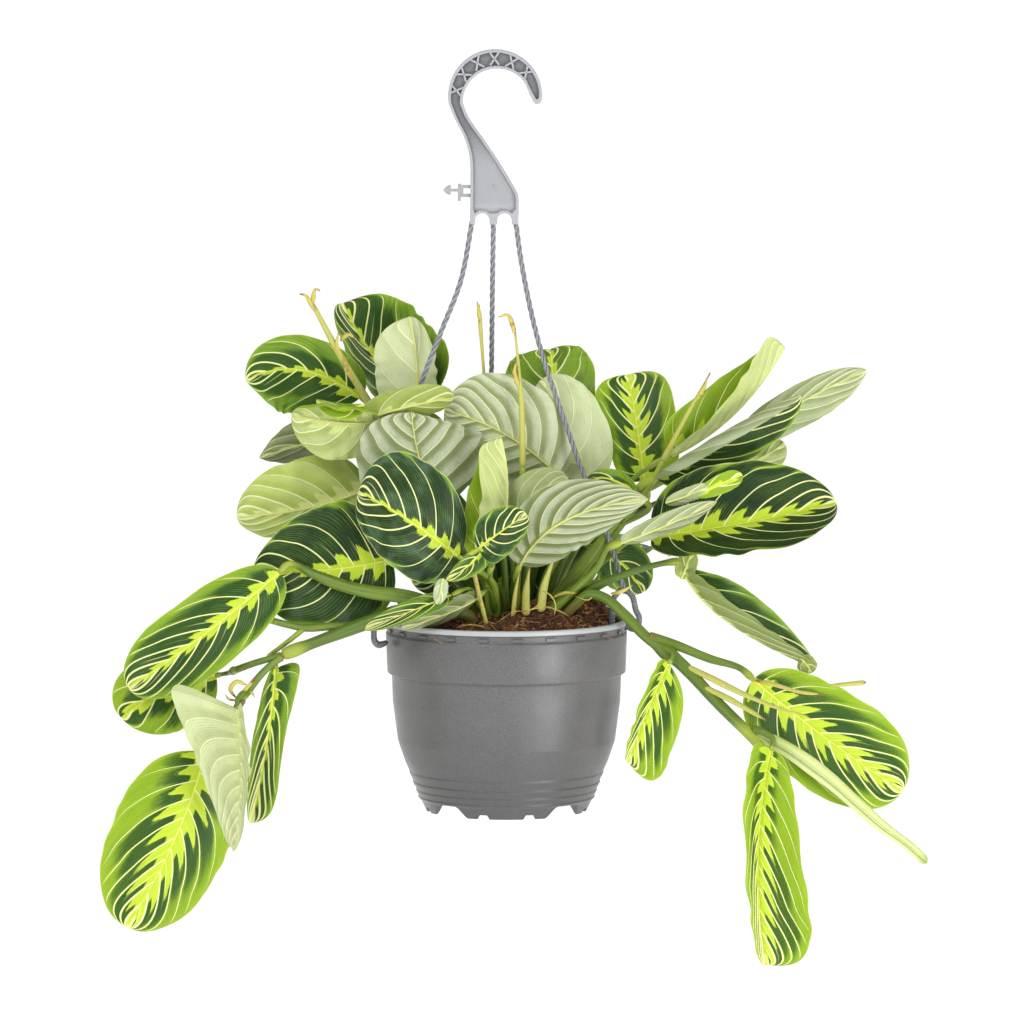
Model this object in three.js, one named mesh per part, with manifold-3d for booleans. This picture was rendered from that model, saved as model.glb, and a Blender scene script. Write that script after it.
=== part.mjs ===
// Potted prayer plant (Maranta leuconeura, lime-feathered form) in a hanging pot.
// Millimetres, +Z up, +Y to the back. The origin is the seat of the hook, where a rail or nail bears on it.
// The sizes below are measured from the pot's axis and from the plane of its feet.
import * as THREE from 'three';
import { mergeVertices } from 'three/addons/utils/BufferGeometryUtils.js';
import Module from 'manifold-3d';

// ---- Driving dimensions ----
const HOOK_SEAT = { x: -6, z: 455 };
const GAP = 0.3;
const ROUND = 40;

const POT = { rim: 75, wall: 2, height: 118.5, floor: 8, feet: 4, footArch: 18, drain: 4 };
const HOOK = { outer: 28.8, inner: 19.2, depth: 7, web: 1.8, flange: 1.8, ribs: 13 };
const STRAND = { radius: 1.5, top: 363.4 };
const CLIP = { radius: 1.5, legIn: 68.4, legOut: 85, crest: 138.5, foot: { left: 106, right: 111, back: 108 } };
const CLIP_ANGLES = { left: 197, right: 343, back: 98 };
const SOIL = { radius: 66, edge: 111, dome: 9 };
const BLADE = { thickness: 1.1, rows: 7, columns: 2 };
const PETIOLE = 1.4;

const COLOURS = {
  pot: 0x55555a,
  hanger: 0xa6a8ad,
  soil: 0x4a2f1e,
  stem: 0x6f9a3a,
  dry: 0xc9b25a,
  leaf: 0x3f7d2a,
};

const wasm = await Module();
wasm.setup();

const DEG = Math.PI / 180;
const vec = (x, y, z) => new THREE.Vector3(x, y, z);

// ---- Helpers ----
function solid(geometry) {
  const plain = geometry.clone();
  plain.deleteAttribute('normal');
  plain.deleteAttribute('uv');
  const merged = mergeVertices(plain, 1e-3);
  return new wasm.Manifold(new wasm.Mesh({
    numProp: 3,
    vertProperties: merged.attributes.position.array,
    triVerts: new Uint32Array(merged.index.array),
  }));
}

function geometryOf(manifold) {
  const mesh = manifold.getMesh();
  const geometry = new THREE.BufferGeometry();
  geometry.setAttribute('position', new THREE.BufferAttribute(new Float32Array(mesh.vertProperties), 3));
  geometry.setIndex(new THREE.BufferAttribute(new Uint32Array(mesh.triVerts), 1));
  return geometry;
}

function named(name, geometry, colour, roughness = 0.6) {
  geometry.computeVertexNormals();
  const material = new THREE.MeshStandardMaterial({ color: colour, roughness });
  const mesh = new THREE.Mesh(geometry, material);
  mesh.name = name;
  return mesh;
}

// A round bar along a smooth path through the points.
function bar(points, radius, sides = 6, steps = 8) {
  const path = new THREE.CatmullRomCurve3(points, false, 'centripetal');
  const section = new THREE.Shape();
  for (let i = 0; i < sides; i++) {
    const a = (i / sides) * 2 * Math.PI;
    const x = radius * Math.cos(a);
    const y = radius * Math.sin(a);
    if (i === 0) section.moveTo(x, y);
    else section.lineTo(x, y);
  }
  return new THREE.ExtrudeGeometry(section, { steps, extrudePath: path, curveSegments: 1 });
}

// A flat plate in the XZ plane, centred on Y = 0.
function plate(shape, depth) {
  const geometry = new THREE.ExtrudeGeometry(shape, { depth, bevelEnabled: false, curveSegments: 12 });
  geometry.translate(0, 0, -depth / 2);
  geometry.rotateX(Math.PI / 2);
  return geometry;
}

function joined(geometries) {
  return geometries.map(solid).reduce((all, one) => all.add(one));
}

function lathe(profile, segments = ROUND) {
  const geometry = new THREE.LatheGeometry(profile.map(([r, z]) => new THREE.Vector2(r, z)), segments);
  geometry.rotateX(Math.PI / 2);
  return geometry;
}

// ---- Pot ----
function potGeometry() {
  const profile = [
    [0, POT.floor],
    [47, POT.floor],
    [48.2, 0],
    [49.6, 0],
    [52.6, 6.4],
    [54.6, 8.4],
    [54.2, 9.4],
    [55.9, 12.6],
    [55.6, 13.6],
    [57.9, 17.6],
    [57.5, 18.6],
    [60, 23.6],
    [59.8, 24.6],
    [62.7, 31],
    [66.9, 43.4],
    [70.1, 68],
    [70.7, 85],
    [73.5, 85.6],
    [74.5, 110.5],
    [73.3, 111.2],
    [73.3, 114.8],
    [POT.rim, 115.2],
    [POT.rim, POT.height - 0.6],
    [POT.rim - 0.6, POT.height],
    [71.6, POT.height],
    [71.2, 111],
    [68.6, 84],
    [67.9, 68],
    [64.8, 44.4],
    [60.6, 32],
    [52.2, POT.floor + POT.wall],
    [0, POT.floor + POT.wall],
  ];
  let pot = solid(lathe(profile));
  for (let i = 0; i < POT.feet; i++) {
    const turn = (i * 90 + 45) * DEG;
    const arch = new THREE.Shape();
    arch.moveTo(-14, -1);
    arch.lineTo(14, -1);
    arch.lineTo(8.2, POT.floor - 0.2);
    arch.lineTo(-8.2, POT.floor - 0.2);
    const cut = new THREE.ExtrudeGeometry(arch, { depth: 22, bevelEnabled: false });
    cut.rotateX(Math.PI / 2);
    cut.translate(0, 60, 0);
    cut.rotateZ(turn - Math.PI / 2);
    pot = pot.subtract(solid(cut));
    const drain = new THREE.CylinderGeometry(POT.drain, POT.drain, 12, 10);
    drain.rotateX(Math.PI / 2);
    drain.translate(32 * Math.cos(turn), 32 * Math.sin(turn), POT.floor + 1);
    pot = pot.subtract(solid(drain));
    for (const side of [-1, 1]) {
      const notch = new THREE.BoxGeometry(14, 6.5, 5.4);
      notch.translate(50, side * 13.5, 0);
      notch.rotateZ(turn + Math.PI / 4);
      pot = pot.subtract(solid(notch));
    }
  }
  return geometryOf(pot);
}

// ---- Potting mix: a low mound, higher at the right and back, with a dish for the crown ----
function soilHeight(x, y) {
  const r = Math.hypot(x, y) / SOIL.radius;
  const mound = 5.5 * Math.exp(-((x - 40) ** 2 + (y - 16) ** 2) / 420);
  const lump = 0.8 * Math.sin(x * 0.21 + 1) * Math.cos(y * 0.17);
  return SOIL.edge + (SOIL.dome + mound + lump) * Math.max(0, 1 - r ** 4);
}

function soilGeometry() {
  const around = 24;
  const radii = [14, 28, 42, 55, SOIL.radius];
  const lower = [[SOIL.radius + 1.6, 105], [67.2, 84], [65.4, 60], [58.6, 31.5], [49, POT.floor + POT.wall + GAP]];
  const at = (r, i) => [r * Math.cos((i / around) * 2 * Math.PI), r * Math.sin((i / around) * 2 * Math.PI)];
  const rings = radii.map((r) => Array.from({ length: around }, (_, i) => {
    const [x, y] = at(r, i);
    return [x, y, soilHeight(x, y)];
  }));
  for (const [r, z] of lower) rings.push(Array.from({ length: around }, (_, i) => [...at(r, i), z]));
  const points = [[0, 0, soilHeight(0, 0)], ...rings.flat(), [0, 0, POT.floor + POT.wall + GAP]];
  const index = [];
  for (let i = 0; i < around; i++) {
    const j = (i + 1) % around;
    index.push(0, 1 + i, 1 + j);
    for (let k = 0; k + 1 < rings.length; k++) {
      const a = 1 + k * around;
      const b = a + around;
      index.push(a + i, b + i, b + j, a + i, b + j, a + j);
    }
    const last = 1 + (rings.length - 1) * around;
    index.push(points.length - 1, last + j, last + i);
  }
  const geometry = new THREE.BufferGeometry();
  geometry.setAttribute('position', new THREE.Float32BufferAttribute(points.flat(), 3));
  geometry.setIndex(index);
  const dish = crownBall(GAP);
  return geometryOf(solid(geometry).subtract(dish));
}

// ---- Hook: a flat moulding with raised edges, a thin web and zigzag ribs ----
const HOOK_OUT = { x: -6.9, z: 439.8 };
const HOOK_IN = { x: -6, z: 435.8 };
const SHANK_LEFT = [[-35.4, 435.8], [-31.7, 426.5], [-25.5, 414.1], [-22.4, 401.8], [-22.1, 392.5], [-22.4, 371]];
const SHANK_RIGHT = [[-25.2, 435.8], [-22.4, 427.7], [-13.2, 413.5], [-4, 398.7], [5.2, 383.2], [7.4, 378.9], [7.4, 371]];

function hookOutline(inset, foot) {
  const shape = new THREE.Shape();
  const outer = HOOK.outer - inset;
  const inner = HOOK.inner + inset;
  const nose = 2 + inset * 1.4;
  shape.moveTo(SHANK_LEFT[0][0] + inset, SHANK_LEFT[0][1]);
  for (const [x, z] of SHANK_LEFT.slice(1)) shape.lineTo(x + inset, Math.max(z, foot + inset));
  if (inset === 0) {
    shape.lineTo(-22.4, foot);
    shape.absarc(-14.1, foot, 5.2, Math.PI, 0, true);
    shape.lineTo(-6.6, foot);
    shape.absarc(-1.2, foot, 5.2, Math.PI, 0, true);
    shape.lineTo(7.4, foot);
  }
  for (const [x, z] of SHANK_RIGHT.slice(1).reverse()) shape.lineTo(x - inset, Math.max(z, foot + inset));
  shape.absarc(HOOK_IN.x, HOOK_IN.z, inner, Math.PI, 3 * DEG * nose, true);
  if (inset === 0) {
    shape.bezierCurveTo(12.6, 434, 17, 431.5, 20.2, 434.6);
    shape.lineTo(HOOK_OUT.x + outer * Math.cos(2 * DEG), HOOK_OUT.z + outer * Math.sin(2 * DEG));
  }
  shape.absarc(HOOK_OUT.x, HOOK_OUT.z, outer, 2 * DEG * nose, 184 * DEG, false);
  return shape;
}

function hookGeometry() {
  const foot = 364;
  let hook = solid(plate(hookOutline(0, foot), HOOK.depth));
  const pocket = solid(plate(hookOutline(HOOK.flange, foot + 7), HOOK.depth));
  const clear = (HOOK.depth + HOOK.web) / 2;
  hook = hook.subtract(pocket.translate([0, -clear, 0])).subtract(pocket.translate([0, clear, 0]));
  for (let i = 0; i < HOOK.ribs; i++) {
    const a = (26 + i * 11.5) * DEG;
    const rib = new THREE.BoxGeometry(12.4 - i * 0.25, HOOK.depth - 1, 1.3);
    rib.rotateY((i % 2 ? 0.55 : -0.55) - a);
    rib.translate(-6.6 + 24 * Math.cos(a), 0, 438 + 24 * Math.sin(a));
    hook = hook.add(solid(rib).intersect(solid(plate(hookOutline(0.4, foot), HOOK.depth))));
  }
  const tag = new THREE.Shape();
  for (const [i, [x, z]] of [
    [-22, 385.6],
    [-28, 385.6],
    [-28, 386.3],
    [-29.8, 386.3],
    [-29.8, 383.4],
    [-34.2, 383.4],
    [-34.2, 385.8],
    [-38.4, 383],
    [-38.4, 381.9],
    [-34.2, 379.4],
    [-34.2, 381.4],
    [-29.8, 381.4],
    [-29.8, 375.8],
    [-28, 375.8],
    [-28, 378.2],
    [-22, 378.2],
    [-22, 380.2],
    [-26.4, 380.2],
    [-26.4, 383.6],
    [-22, 383.6],
  ].entries()) {
    if (i === 0) tag.moveTo(x, z);
    else tag.lineTo(x, z);
  }
  return geometryOf(hook.add(solid(plate(tag, 2.6))));
}

// ---- Hanger strands and rim clips ----
function polar(radius, degrees, z) {
  return vec(radius * Math.cos(degrees * DEG), radius * Math.sin(degrees * DEG), z);
}

const STRAND_ROUTES = {
  left: [vec(-21, 0, 363.4), vec(-28, -3.4, 327), vec(-40, -6.6, 296), vec(-53, -10, 262), vec(-63, -15, 225), vec(-69.5, -20, 180)],
  right: [vec(5.6, 0, 363.4), vec(9.5, -2.6, 336), vec(19.8, -6.4, 289), vec(36.5, -11.6, 239), vec(48, -15.4, 207), vec(61.4, -19.4, 174)],
  back: [vec(-8, 0, 363.4), vec(-8.6, 10, 325), vec(-9.3, 31, 266), vec(-9.8, 50, 205)],
};

function clipCrest(side) {
  return polar(POT.rim, CLIP_ANGLES[side], CLIP.crest + CLIP.radius * 0.7);
}

function strandGeometry(side) {
  const end = clipCrest(side).add(vec(0, 0, GAP));
  return bar([...STRAND_ROUTES[side], end], STRAND.radius, 6, 14);
}

function clipGeometry(side) {
  const angle = CLIP_ANGLES[side];
  const foot = CLIP.foot[side];
  const rise = [
    [CLIP.legIn, 113],
    [CLIP.legIn - 1, 126],
    [70, 135],
    [POT.rim, CLIP.crest],
    [80.4, 135],
    [83, 126],
    [CLIP.legOut, foot + 6],
    [CLIP.legOut - 0.6, foot],
  ].map(([r, z]) => polar(r, angle, z));
  const hookEnd = [[84.6, foot + 1.4], [80, foot], [POT.rim - 0.1, foot + 0.8]].map(([r, z]) => polar(r, angle, z));
  return geometryOf(joined([bar(rise, CLIP.radius, 6, 12), bar(hookEnd, 2.1, 6, 3)]));
}

// ---- Leaves ----
// Each blade follows a rib (base to tip) and faces the way its upper side looks.
// right/left: [fold at the rib, further curl to the margin] in radians, towards the upper side when positive.
const LEAVES = {
  left_1: { rib: [[-91, 20, 252], [-122, 12, 269], [-160, 2, 269]], half: 25, face: [0, -1, 0.3], from: [-14, 14] },
  left_2: {
    rib: [[-50, 44, 243], [-77, 38, 280], [-105, 26, 306]],
    half: 41,
    face: [-0.35, -1, 0],
    left: [-0.5, 0],
    from: [-8, 18],
  },
  left_3: { rib: [[-58, -2, 240], [-59, 0, 274], [-63, 2, 304]], half: 23, face: [0, 1, 0.1], left: [0.85, 0], from: [-14, 6] },
  left_4: {
    rib: [[-82, -24, 241], [-106, -27, 242], [-131, -22, 246]],
    half: 23,
    face: [0, 1, -0.15],
    right: [0, 0.2],
    left: [0.1, -2.5],
    from: [-20, -4],
    via: [-66, -6, 214],
  },
  left_5: {
    rib: [[-76, -21, 246], [-56, -24, 251], [-32, -20, 257]],
    half: 11,
    face: [0.1, 1, 0.3],
    left: [0.3, 0.5],
    from: [-14, -12],
    via: [-70, -28, 222],
  },
  left_6: { rib: [[-86, 6, 234], [-118, 4, 228], [-152, -2, 218]], half: 19, face: [0, 0.85, 0.6], from: [-22, 6] },
  left_7: { rib: [[-80, -6, 203], [-122, -13, 188], [-166, -10, 182]], half: 28, face: [0, 1, 0.1], from: [-24, 0] },
  left_8: { rib: [[-44, -30, 188], [-54, -34, 223], [-58, -26, 248]], half: 38, face: [-0.25, 1, -0.1], from: [-14, -12] },
  left_9: { rib: [[-25, -42, 162], [-57, -57, 187], [-91, -52, 204]], half: 31, face: [0, -1, 0.2], widest: 0.52, from: [-10, -20] },
  left_10: { rib: [[-70, -29, 158], [-112, -34, 152], [-155, -28, 152]], half: 38, face: [0, -1, 0.1], from: [-24, -12] },
  top_1: { rib: [[33, -3, 206], [0, -13, 233], [-38, -9, 248]], half: 35, face: [0, 1, 0.1], widest: 0.52, from: [12, -2] },
  top_2: {
    rib: [[-8, -38, 154], [-1, -36, 190], [-3, -32, 231]],
    half: 25,
    face: [-1, -0.15, 0],
    right: [0.7, 0],
    left: [1.2, 0.2],
    from: [-4, -16],
  },
  top_3: { rib: [[4, -24, 164], [13, -28, 192], [38, -27, 207]], half: 16, face: [0, 1, 0], from: [4, -12] },
  top_4: { rib: [[30, 40, 222], [29, 40, 262], [27, 52, 281]], half: 30, face: [0, -1, 0.3], from: [8, 18] },
  top_5: { rib: [[50, 8, 200], [38, 4, 240], [18, 10, 268]], half: 27, face: [0, 1, 0], from: [14, 8] },
  front_1: { rib: [[-19, -64, 156], [-6, -68, 174], [11, -64, 192]], half: 15, face: [-0.2, -1, 0.3], from: [-10, -26] },
  front_2: { rib: [[-25, -58, 153], [-35, -64, 149], [-44, -65, 140]], half: 7, face: [0, -1, 0.8], from: [-16, -24] },
  front_3: {
    rib: [[8, -42, 156], [35, -58, 185], [85, -60, 198]],
    half: 25,
    face: [0, 1, 0.2],
    widest: 0.38,
    from: [6, -22],
  },
  front_4: { rib: [[-22, -56, 137], [-54, -68, 128], [-86, -64, 119]], half: 9, face: [0, -0.8, 0.9], from: [-16, -20] },
  front_5: { rib: [[-12, -46, 127], [-32, -52, 122], [-52, -50, 119.5]], half: 9, face: [0, 0.7, 0.7], from: [-8, -22] },
  right_1: { rib: [[85, 16, 202], [80, 18, 238], [75, 28, 267]], half: 25, face: [0, -1, 0.1], from: [22, 8] },
  right_2: { rib: [[79, -20, 197], [64, -18, 206], [49, -10, 204]], half: 7, face: [0, -1, 0.7], from: [20, -10] },
  right_3: {
    rib: [[100, -4, 216], [138, -3, 246], [169, -4, 289]],
    half: 19,
    face: [-0.68, 0, 0.73],
    right: [0.25, 0.3],
    left: [0.75, 0.2],
    from: [24, 4],
  },
  right_4: { rib: [[145, 6, 229], [183, 2, 253], [221, -2, 272]], half: 14, face: [0, 1, -0.1], from: [26, 12] },
  right_5: {
    rib: [[92, -14, 207], [136, -18, 234], [180, -16, 258]],
    half: 21,
    face: [0.2, -1, -0.35],
    left: [0.3, 2.2],
    from: [26, -4],
  },
  right_6: { rib: [[136, 16, 207], [156, 14, 216], [171, 14, 226]], half: 12, face: [0, 1, 0], from: [28, 14] },
  right_7: {
    rib: [[88, -30, 172], [146, -40, 180], [202, -38, 192]],
    half: 37,
    face: [0, -1, 0.15],
    right: [0.9, 0.2],
    from: [24, -10],
    via: [62, -13, 158],
  },
  right_8: {
    rib: [[74, -46, 170], [106, -56, 192], [146, -56, 206]],
    half: 10,
    face: [-0.3, 0.9, 0.5],
    from: [22, -28],
    via: [54, -34, 152],
  },
  right_9: { rib: [[54, -4, 162], [71, 0, 152], [84, 4, 134]], half: 16, face: [0, -1, 0.2], from: [26, -2] },
  right_10: {
    rib: [[108, -36, 152], [142, -33, 117], [187, -26, 93]],
    half: 22,
    face: [0.55, -0.3, 0.75],
    right: [0.5, 0],
    left: [0.9, 0],
    from: [28, -16],
    via: [62, -32, 145],
    reach: 5,
  },
  trail_left_1: { rib: [[-138, -40, 152], [-183, -50, 116], [-230, -44, 79]], half: 27, face: [0, -1, 0.1] },
  trail_left_2: { rib: [[-178, -24, 86], [-210, -32, 77], [-236, -28, 60]], half: 26, face: [0, -1, 0] },
  trail_left_3: {
    rib: [[-163, -72, 71], [-161, -74, 24], [-166, -68, -17]],
    half: 38,
    face: [0, 1, 0.1],
    right: [-1.3, 0],
    widest: 0.25,
    sweep: 0.6,
  },
  trail_left_4: {
    rib: [[-184, -50, 42], [-202, -56, -10], [-232, -52, -66]],
    half: 40,
    face: [0, -1, 0.1],
    left: [-0.4, -0.2],
    sweep: -0.1,
  },
  trail_left_5: {
    rib: [[-141, -46, 93], [-147, -52, 45], [-156, -50, -2]],
    half: 14,
    face: [0, -1, 0],
    widest: 0.32,
    sweep: 0.3,
  },
  trail_right_1: { rib: [[150, -38, 85], [197, -35, 50], [243, -32, 16]], half: 34, face: [0, -1, 0.1] },
  trail_right_2: {
    rib: [[162, -62, 43], [157, -66, -26], [165, -62, -90]],
    half: 31,
    face: [0, -1, 0],
    right: [1, 0],
    left: [0.25, 0.2],
    widest: 0.43,
    sweep: 0.4,
  },
  trail_right_3: { rib: [[101, -53, 92], [87, -56, 58], [79, -54, 26]], half: 22, face: [0, -1, 0], right: [1.05, 0] },
  back_1: { rib: [[-22, 34, 150], [-44, 60, 172], [-60, 92, 172]], half: 26, face: [-0.2, -0.2, 1], from: [-8, 22] },
  back_2: { rib: [[16, 34, 152], [24, 62, 174], [28, 98, 168]], half: 26, face: [0, 0.1, 1], from: [6, 22] },
  back_3: { rib: [[60, 36, 144], [82, 62, 156], [102, 88, 148]], half: 22, face: [0.1, 0.1, 1], from: [20, 18] },
  back_4: { rib: [[-46, 34, 150], [-86, 54, 168], [-126, 62, 158]], half: 25, face: [-0.2, 0.5, 1], from: [-14, 18] },
  back_5: { rib: [[98, 34, 172], [134, 50, 184], [170, 56, 176]], half: 23, face: [0.1, 0.6, 1], from: [26, 12] },
  back_6: { rib: [[14, 44, 172], [17, 62, 206], [18, 86, 228]], half: 22, face: [0, -0.7, 0.8], from: [2, 20] },
};

// A smooth curve through equally spaced stations.
function along(stations, t) {
  const n = stations.length - 1;
  const point = vec(0, 0, 0);
  stations.forEach((station, i) => {
    let weight = 1;
    for (let j = 0; j <= n; j++) if (j !== i) weight *= (t * n - j) / (i - j);
    point.addScaledVector(vec(...station), weight);
  });
  return point;
}

function direction(stations, t) {
  return along(stations, t + 0.001).sub(along(stations, t - 0.001)).normalize();
}

// One point of a blade: t runs from base to tip, side from -1 (left margin) to 1 (right margin).
function bladePoint(leaf, t, side) {
  const { half, right = [0.08, 0.15], left = [0.08, 0.15], widest = 0.47, sweep = 0 } = leaf;
  const tangent = direction(leaf.rib, t);
  const up = vec(...leaf.face).normalize();
  up.addScaledVector(tangent, -up.dot(tangent)).normalize();
  const across = tangent.clone().cross(up);
  const shifted = t ** (Math.log(0.5) / Math.log(widest));
  const width = half * Math.sqrt(Math.max(0, 4 * shifted * (1 - shifted)));
  const [fold, curl] = side < 0 ? left : right;
  const v = Math.abs(side);
  const bend = Math.abs(curl) < 1e-3 ? 1e-3 : curl;
  const end = fold + bend * v;
  const out = (width * (Math.sin(end) - Math.sin(fold))) / bend;
  const rise = (width * (Math.cos(fold) - Math.cos(end))) / bend;
  const sign = Math.sign(side);
  const tilt = side === 0 ? 0 : end;
  return {
    point: along(leaf.rib, t)
      .addScaledVector(across, sign * out)
      .addScaledVector(up, rise)
      .addScaledVector(tangent, -sweep * width * v),
    normal: up.clone().multiplyScalar(Math.cos(tilt)).addScaledVector(across, -sign * Math.sin(tilt)),
  };
}

function bladeGeometry(leaf) {
  const { rows } = BLADE;
  const curled = Math.max(Math.abs(leaf.right?.[1] ?? 0), Math.abs(leaf.left?.[1] ?? 0)) > 1;
  const columns = curled ? BLADE.columns + 2 : BLADE.columns;
  const wide = 2 * columns + 1;
  const points = [];
  const key = new Map();
  const vertex = (i, j, face) => {
    const flatEnd = i === 0 || i === rows;
    const id = `${i},${flatEnd ? 0 : j},${face}`;
    if (!key.has(id)) {
      const t = (1 - Math.cos((Math.PI * i) / rows)) / 2;
      const { point, normal } = bladePoint(leaf, t, flatEnd ? 0 : j / columns);
      point.addScaledVector(normal, (face * BLADE.thickness) / 2);
      key.set(id, points.length);
      points.push(point);
    }
    return key.get(id);
  };
  const index = [];
  const quad = (a, b, c, d) => {
    if (a !== b && b !== c && a !== c) index.push(a, b, c);
    if (a !== c && c !== d && a !== d) index.push(a, c, d);
  };
  for (let i = 0; i < rows; i++) {
    for (let k = 0; k + 1 < wide; k++) {
      const j = k - columns;
      quad(vertex(i, j, 1), vertex(i, j + 1, 1), vertex(i + 1, j + 1, 1), vertex(i + 1, j, 1));
      quad(vertex(i, j, -1), vertex(i + 1, j, -1), vertex(i + 1, j + 1, -1), vertex(i, j + 1, -1));
    }
    quad(vertex(i, columns, 1), vertex(i, columns, -1), vertex(i + 1, columns, -1), vertex(i + 1, columns, 1));
    quad(vertex(i, -columns, 1), vertex(i + 1, -columns, 1), vertex(i + 1, -columns, -1), vertex(i, -columns, -1));
  }
  const geometry = new THREE.BufferGeometry();
  geometry.setAttribute('position', new THREE.Float32BufferAttribute(points.flatMap((p) => p.toArray()), 3));
  geometry.setIndex(index);
  return geometry;
}

// ---- Stems ----
// Dried flower stalks, from where they leave the foliage to their tips.
const FLOWER_STALKS = {
  left: { rib: [[-84, 8, 250], [-101, -1, 279], [-120, -4, 315]], radius: 1.5, from: [-20, 10], via: [-62, 10, 208] },
  amber: { rib: [[-10, 4, 200], [-13, 4, 256], [-17, 4, 312]], radius: 0.9, from: [-2, 6] },
  lime: { rib: [[10, -22, 214], [9, -22, 257], [5, -20, 300]], radius: 1.5, from: [4, -8], via: [9, -19, 176] },
  right: { rib: [[96, -13, 217], [110, -12, 244], [125, -9, 271]], radius: 1.2, from: [26, -10], via: [74, -16, 182] },
};

const CROWN = { x: 6, y: 0, z: 119, across: 30, deep: 27, high: 5.5, spread: 0.72 };

function crownBall(extra) {
  const ball = new THREE.SphereGeometry(1, 16, 8);
  ball.scale(CROWN.across + extra, CROWN.deep + extra, CROWN.high + extra);
  ball.translate(CROWN.x, CROWN.y, CROWN.z);
  return solid(ball);
}

// A leaf stalk: from its start, out along the rib's own line, to a gap short of the blade.
function stalk(leaf, starts, radius = PETIOLE) {
  const base = vec(...leaf.rib[0]);
  const aim = direction(leaf.rib, 0);
  const reach = Math.min(leaf.reach ?? 12, base.distanceTo(starts[starts.length - 1]) * 0.35);
  const stop = GAP + 0.6 * radius * Math.max(0, leaf.sweep ?? 0);
  const points = [...starts, base.clone().addScaledVector(aim, -reach), base.clone().addScaledVector(aim, -stop)];
  return bar(points, radius, 5, 5);
}

function crownGeometry() {
  let crown = crownBall(0);
  for (const leaf of [...Object.values(LEAVES), ...Object.values(FLOWER_STALKS)]) {
    if (!leaf.from) continue;
    const x = CROWN.x + (leaf.from[0] - CROWN.x) * CROWN.spread;
    const y = leaf.from[1] * CROWN.spread;
    const start = vec(x, y, CROWN.z);
    const base = vec(...leaf.rib[0]);
    const lift = vec(x + (base.x - x) * 0.25, y + (base.y - y) * 0.3, CROWN.z + (base.z - CROWN.z) * 0.5);
    crown = crown.add(solid(stalk(leaf, [start, leaf.via ? vec(...leaf.via) : lift])));
  }
  return geometryOf(crown);
}

// Where a trailing stem leaves the potting mix.
function ground(x, y, lift) {
  return [x, y, soilHeight(x, y) + lift];
}

function leftStemGeometry() {
  const main = [ground(-20, -33, 2.7), [-25, -36, 125], [-45, -42, 128], [-64, -46, 128], [-85, -48, 121], [-110, -52, 112], [-137, -56, 102]];
  const fork = [[-136, -56, 102], [-148, -58, 92], [-161, -64, 76]];
  const upper = [[-136, -56, 102], [-152, -50, 97], [-168, -38, 90]];
  const shoot = [[-138, -56, 101], [-128, -54, 117], [-134, -48, 122], [-147, -44, 122]];
  const at = (points) => points.map((p) => vec(...p));
  const pieces = [bar(at(main), 3, 6, 9), bar(at(fork), 2.4, 6, 4), bar(at(upper), 2.2, 6, 4), bar(at(shoot), 1.6, 5, 7)];
  pieces.push(stalk(LEAVES.trail_left_2, at([[-166, -39, 91]])));
  pieces.push(stalk(LEAVES.trail_left_3, at([[-157, -62, 81]]), 1.8));
  pieces.push(stalk(LEAVES.trail_left_4, at([[-160, -63, 77], [-172, -58, 58]])));
  pieces.push(stalk(LEAVES.trail_left_5, at([[-140, -56, 100]])));
  const arm = [[-30, -38, 126], [-58, -48, 137], [-96, -47, 142], [-118, -44, 149]];
  pieces.push(stalk(LEAVES.trail_left_1, at(arm), 2));
  return geometryOf(joined(pieces));
}

function rightStemGeometry() {
  const main = [ground(36, -28, 1.2), [41, -31, 129], [50, -35, 137], [60, -37, 135], [72, -38, 125], [85, -41, 112], [106, -46, 96], [130, -50, 76], [156, -54, 51]];
  const tip = [[155, -54, 52], [172, -55, 39], [200, -56, 16], [230, -56, -8], [256, -54, -26]];
  const at = (points) => points.map((p) => vec(...p));
  const pieces = [bar(at(main), 3, 6, 12), bar(at(tip), 3, 6, 8)];
  pieces.push(stalk(LEAVES.trail_right_1, at([[88, -41, 110], [112, -42, 100]]), 1.8));
  pieces.push(stalk(LEAVES.trail_right_2, at([[150, -53, 57]]), 1.8));
  pieces.push(stalk(LEAVES.trail_right_3, at([[92, -42, 106]])));
  return geometryOf(joined(pieces));
}

// ---- Assembly ----
const plant = new THREE.Group();
plant.name = 'prayer_plant';
plant.add(named('pot', potGeometry(), COLOURS.pot, 0.5));
plant.add(named('potting_mix', soilGeometry(), COLOURS.soil, 0.95));

const hanger = new THREE.Group();
hanger.name = 'hanger';
hanger.add(named('hanger_hook', hookGeometry(), COLOURS.hanger));
for (const side of Object.keys(STRAND_ROUTES)) {
  hanger.add(named(`hanger_strand_${side}`, strandGeometry(side), COLOURS.hanger));
  hanger.add(named(`rim_clip_${side}`, clipGeometry(side), COLOURS.hanger));
}

const stems = new THREE.Group();
stems.name = 'stems';
stems.add(named('crown_stems', crownGeometry(), COLOURS.stem));
stems.add(named('left_trailing_stem', leftStemGeometry(), COLOURS.stem));
stems.add(named('right_trailing_stem', rightStemGeometry(), COLOURS.stem));
for (const [name, { rib, radius }] of Object.entries(FLOWER_STALKS)) {
  stems.add(named(`flower_stalk_${name}`, bar(rib.map((p) => vec(...p)), radius, 5, 6), COLOURS.dry));
}

const foliage = new THREE.Group();
foliage.name = 'foliage';
for (const [name, leaf] of Object.entries(LEAVES)) {
  foliage.add(named(`leaf_${name}`, bladeGeometry(leaf), COLOURS.leaf, 0.45));
}

plant.add(hanger, stems, foliage);
plant.position.set(-HOOK_SEAT.x, 0, -HOOK_SEAT.z);

const part = new THREE.Group();
part.name = 'potted_prayer_plant';
part.add(plant);
export default part;
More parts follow.
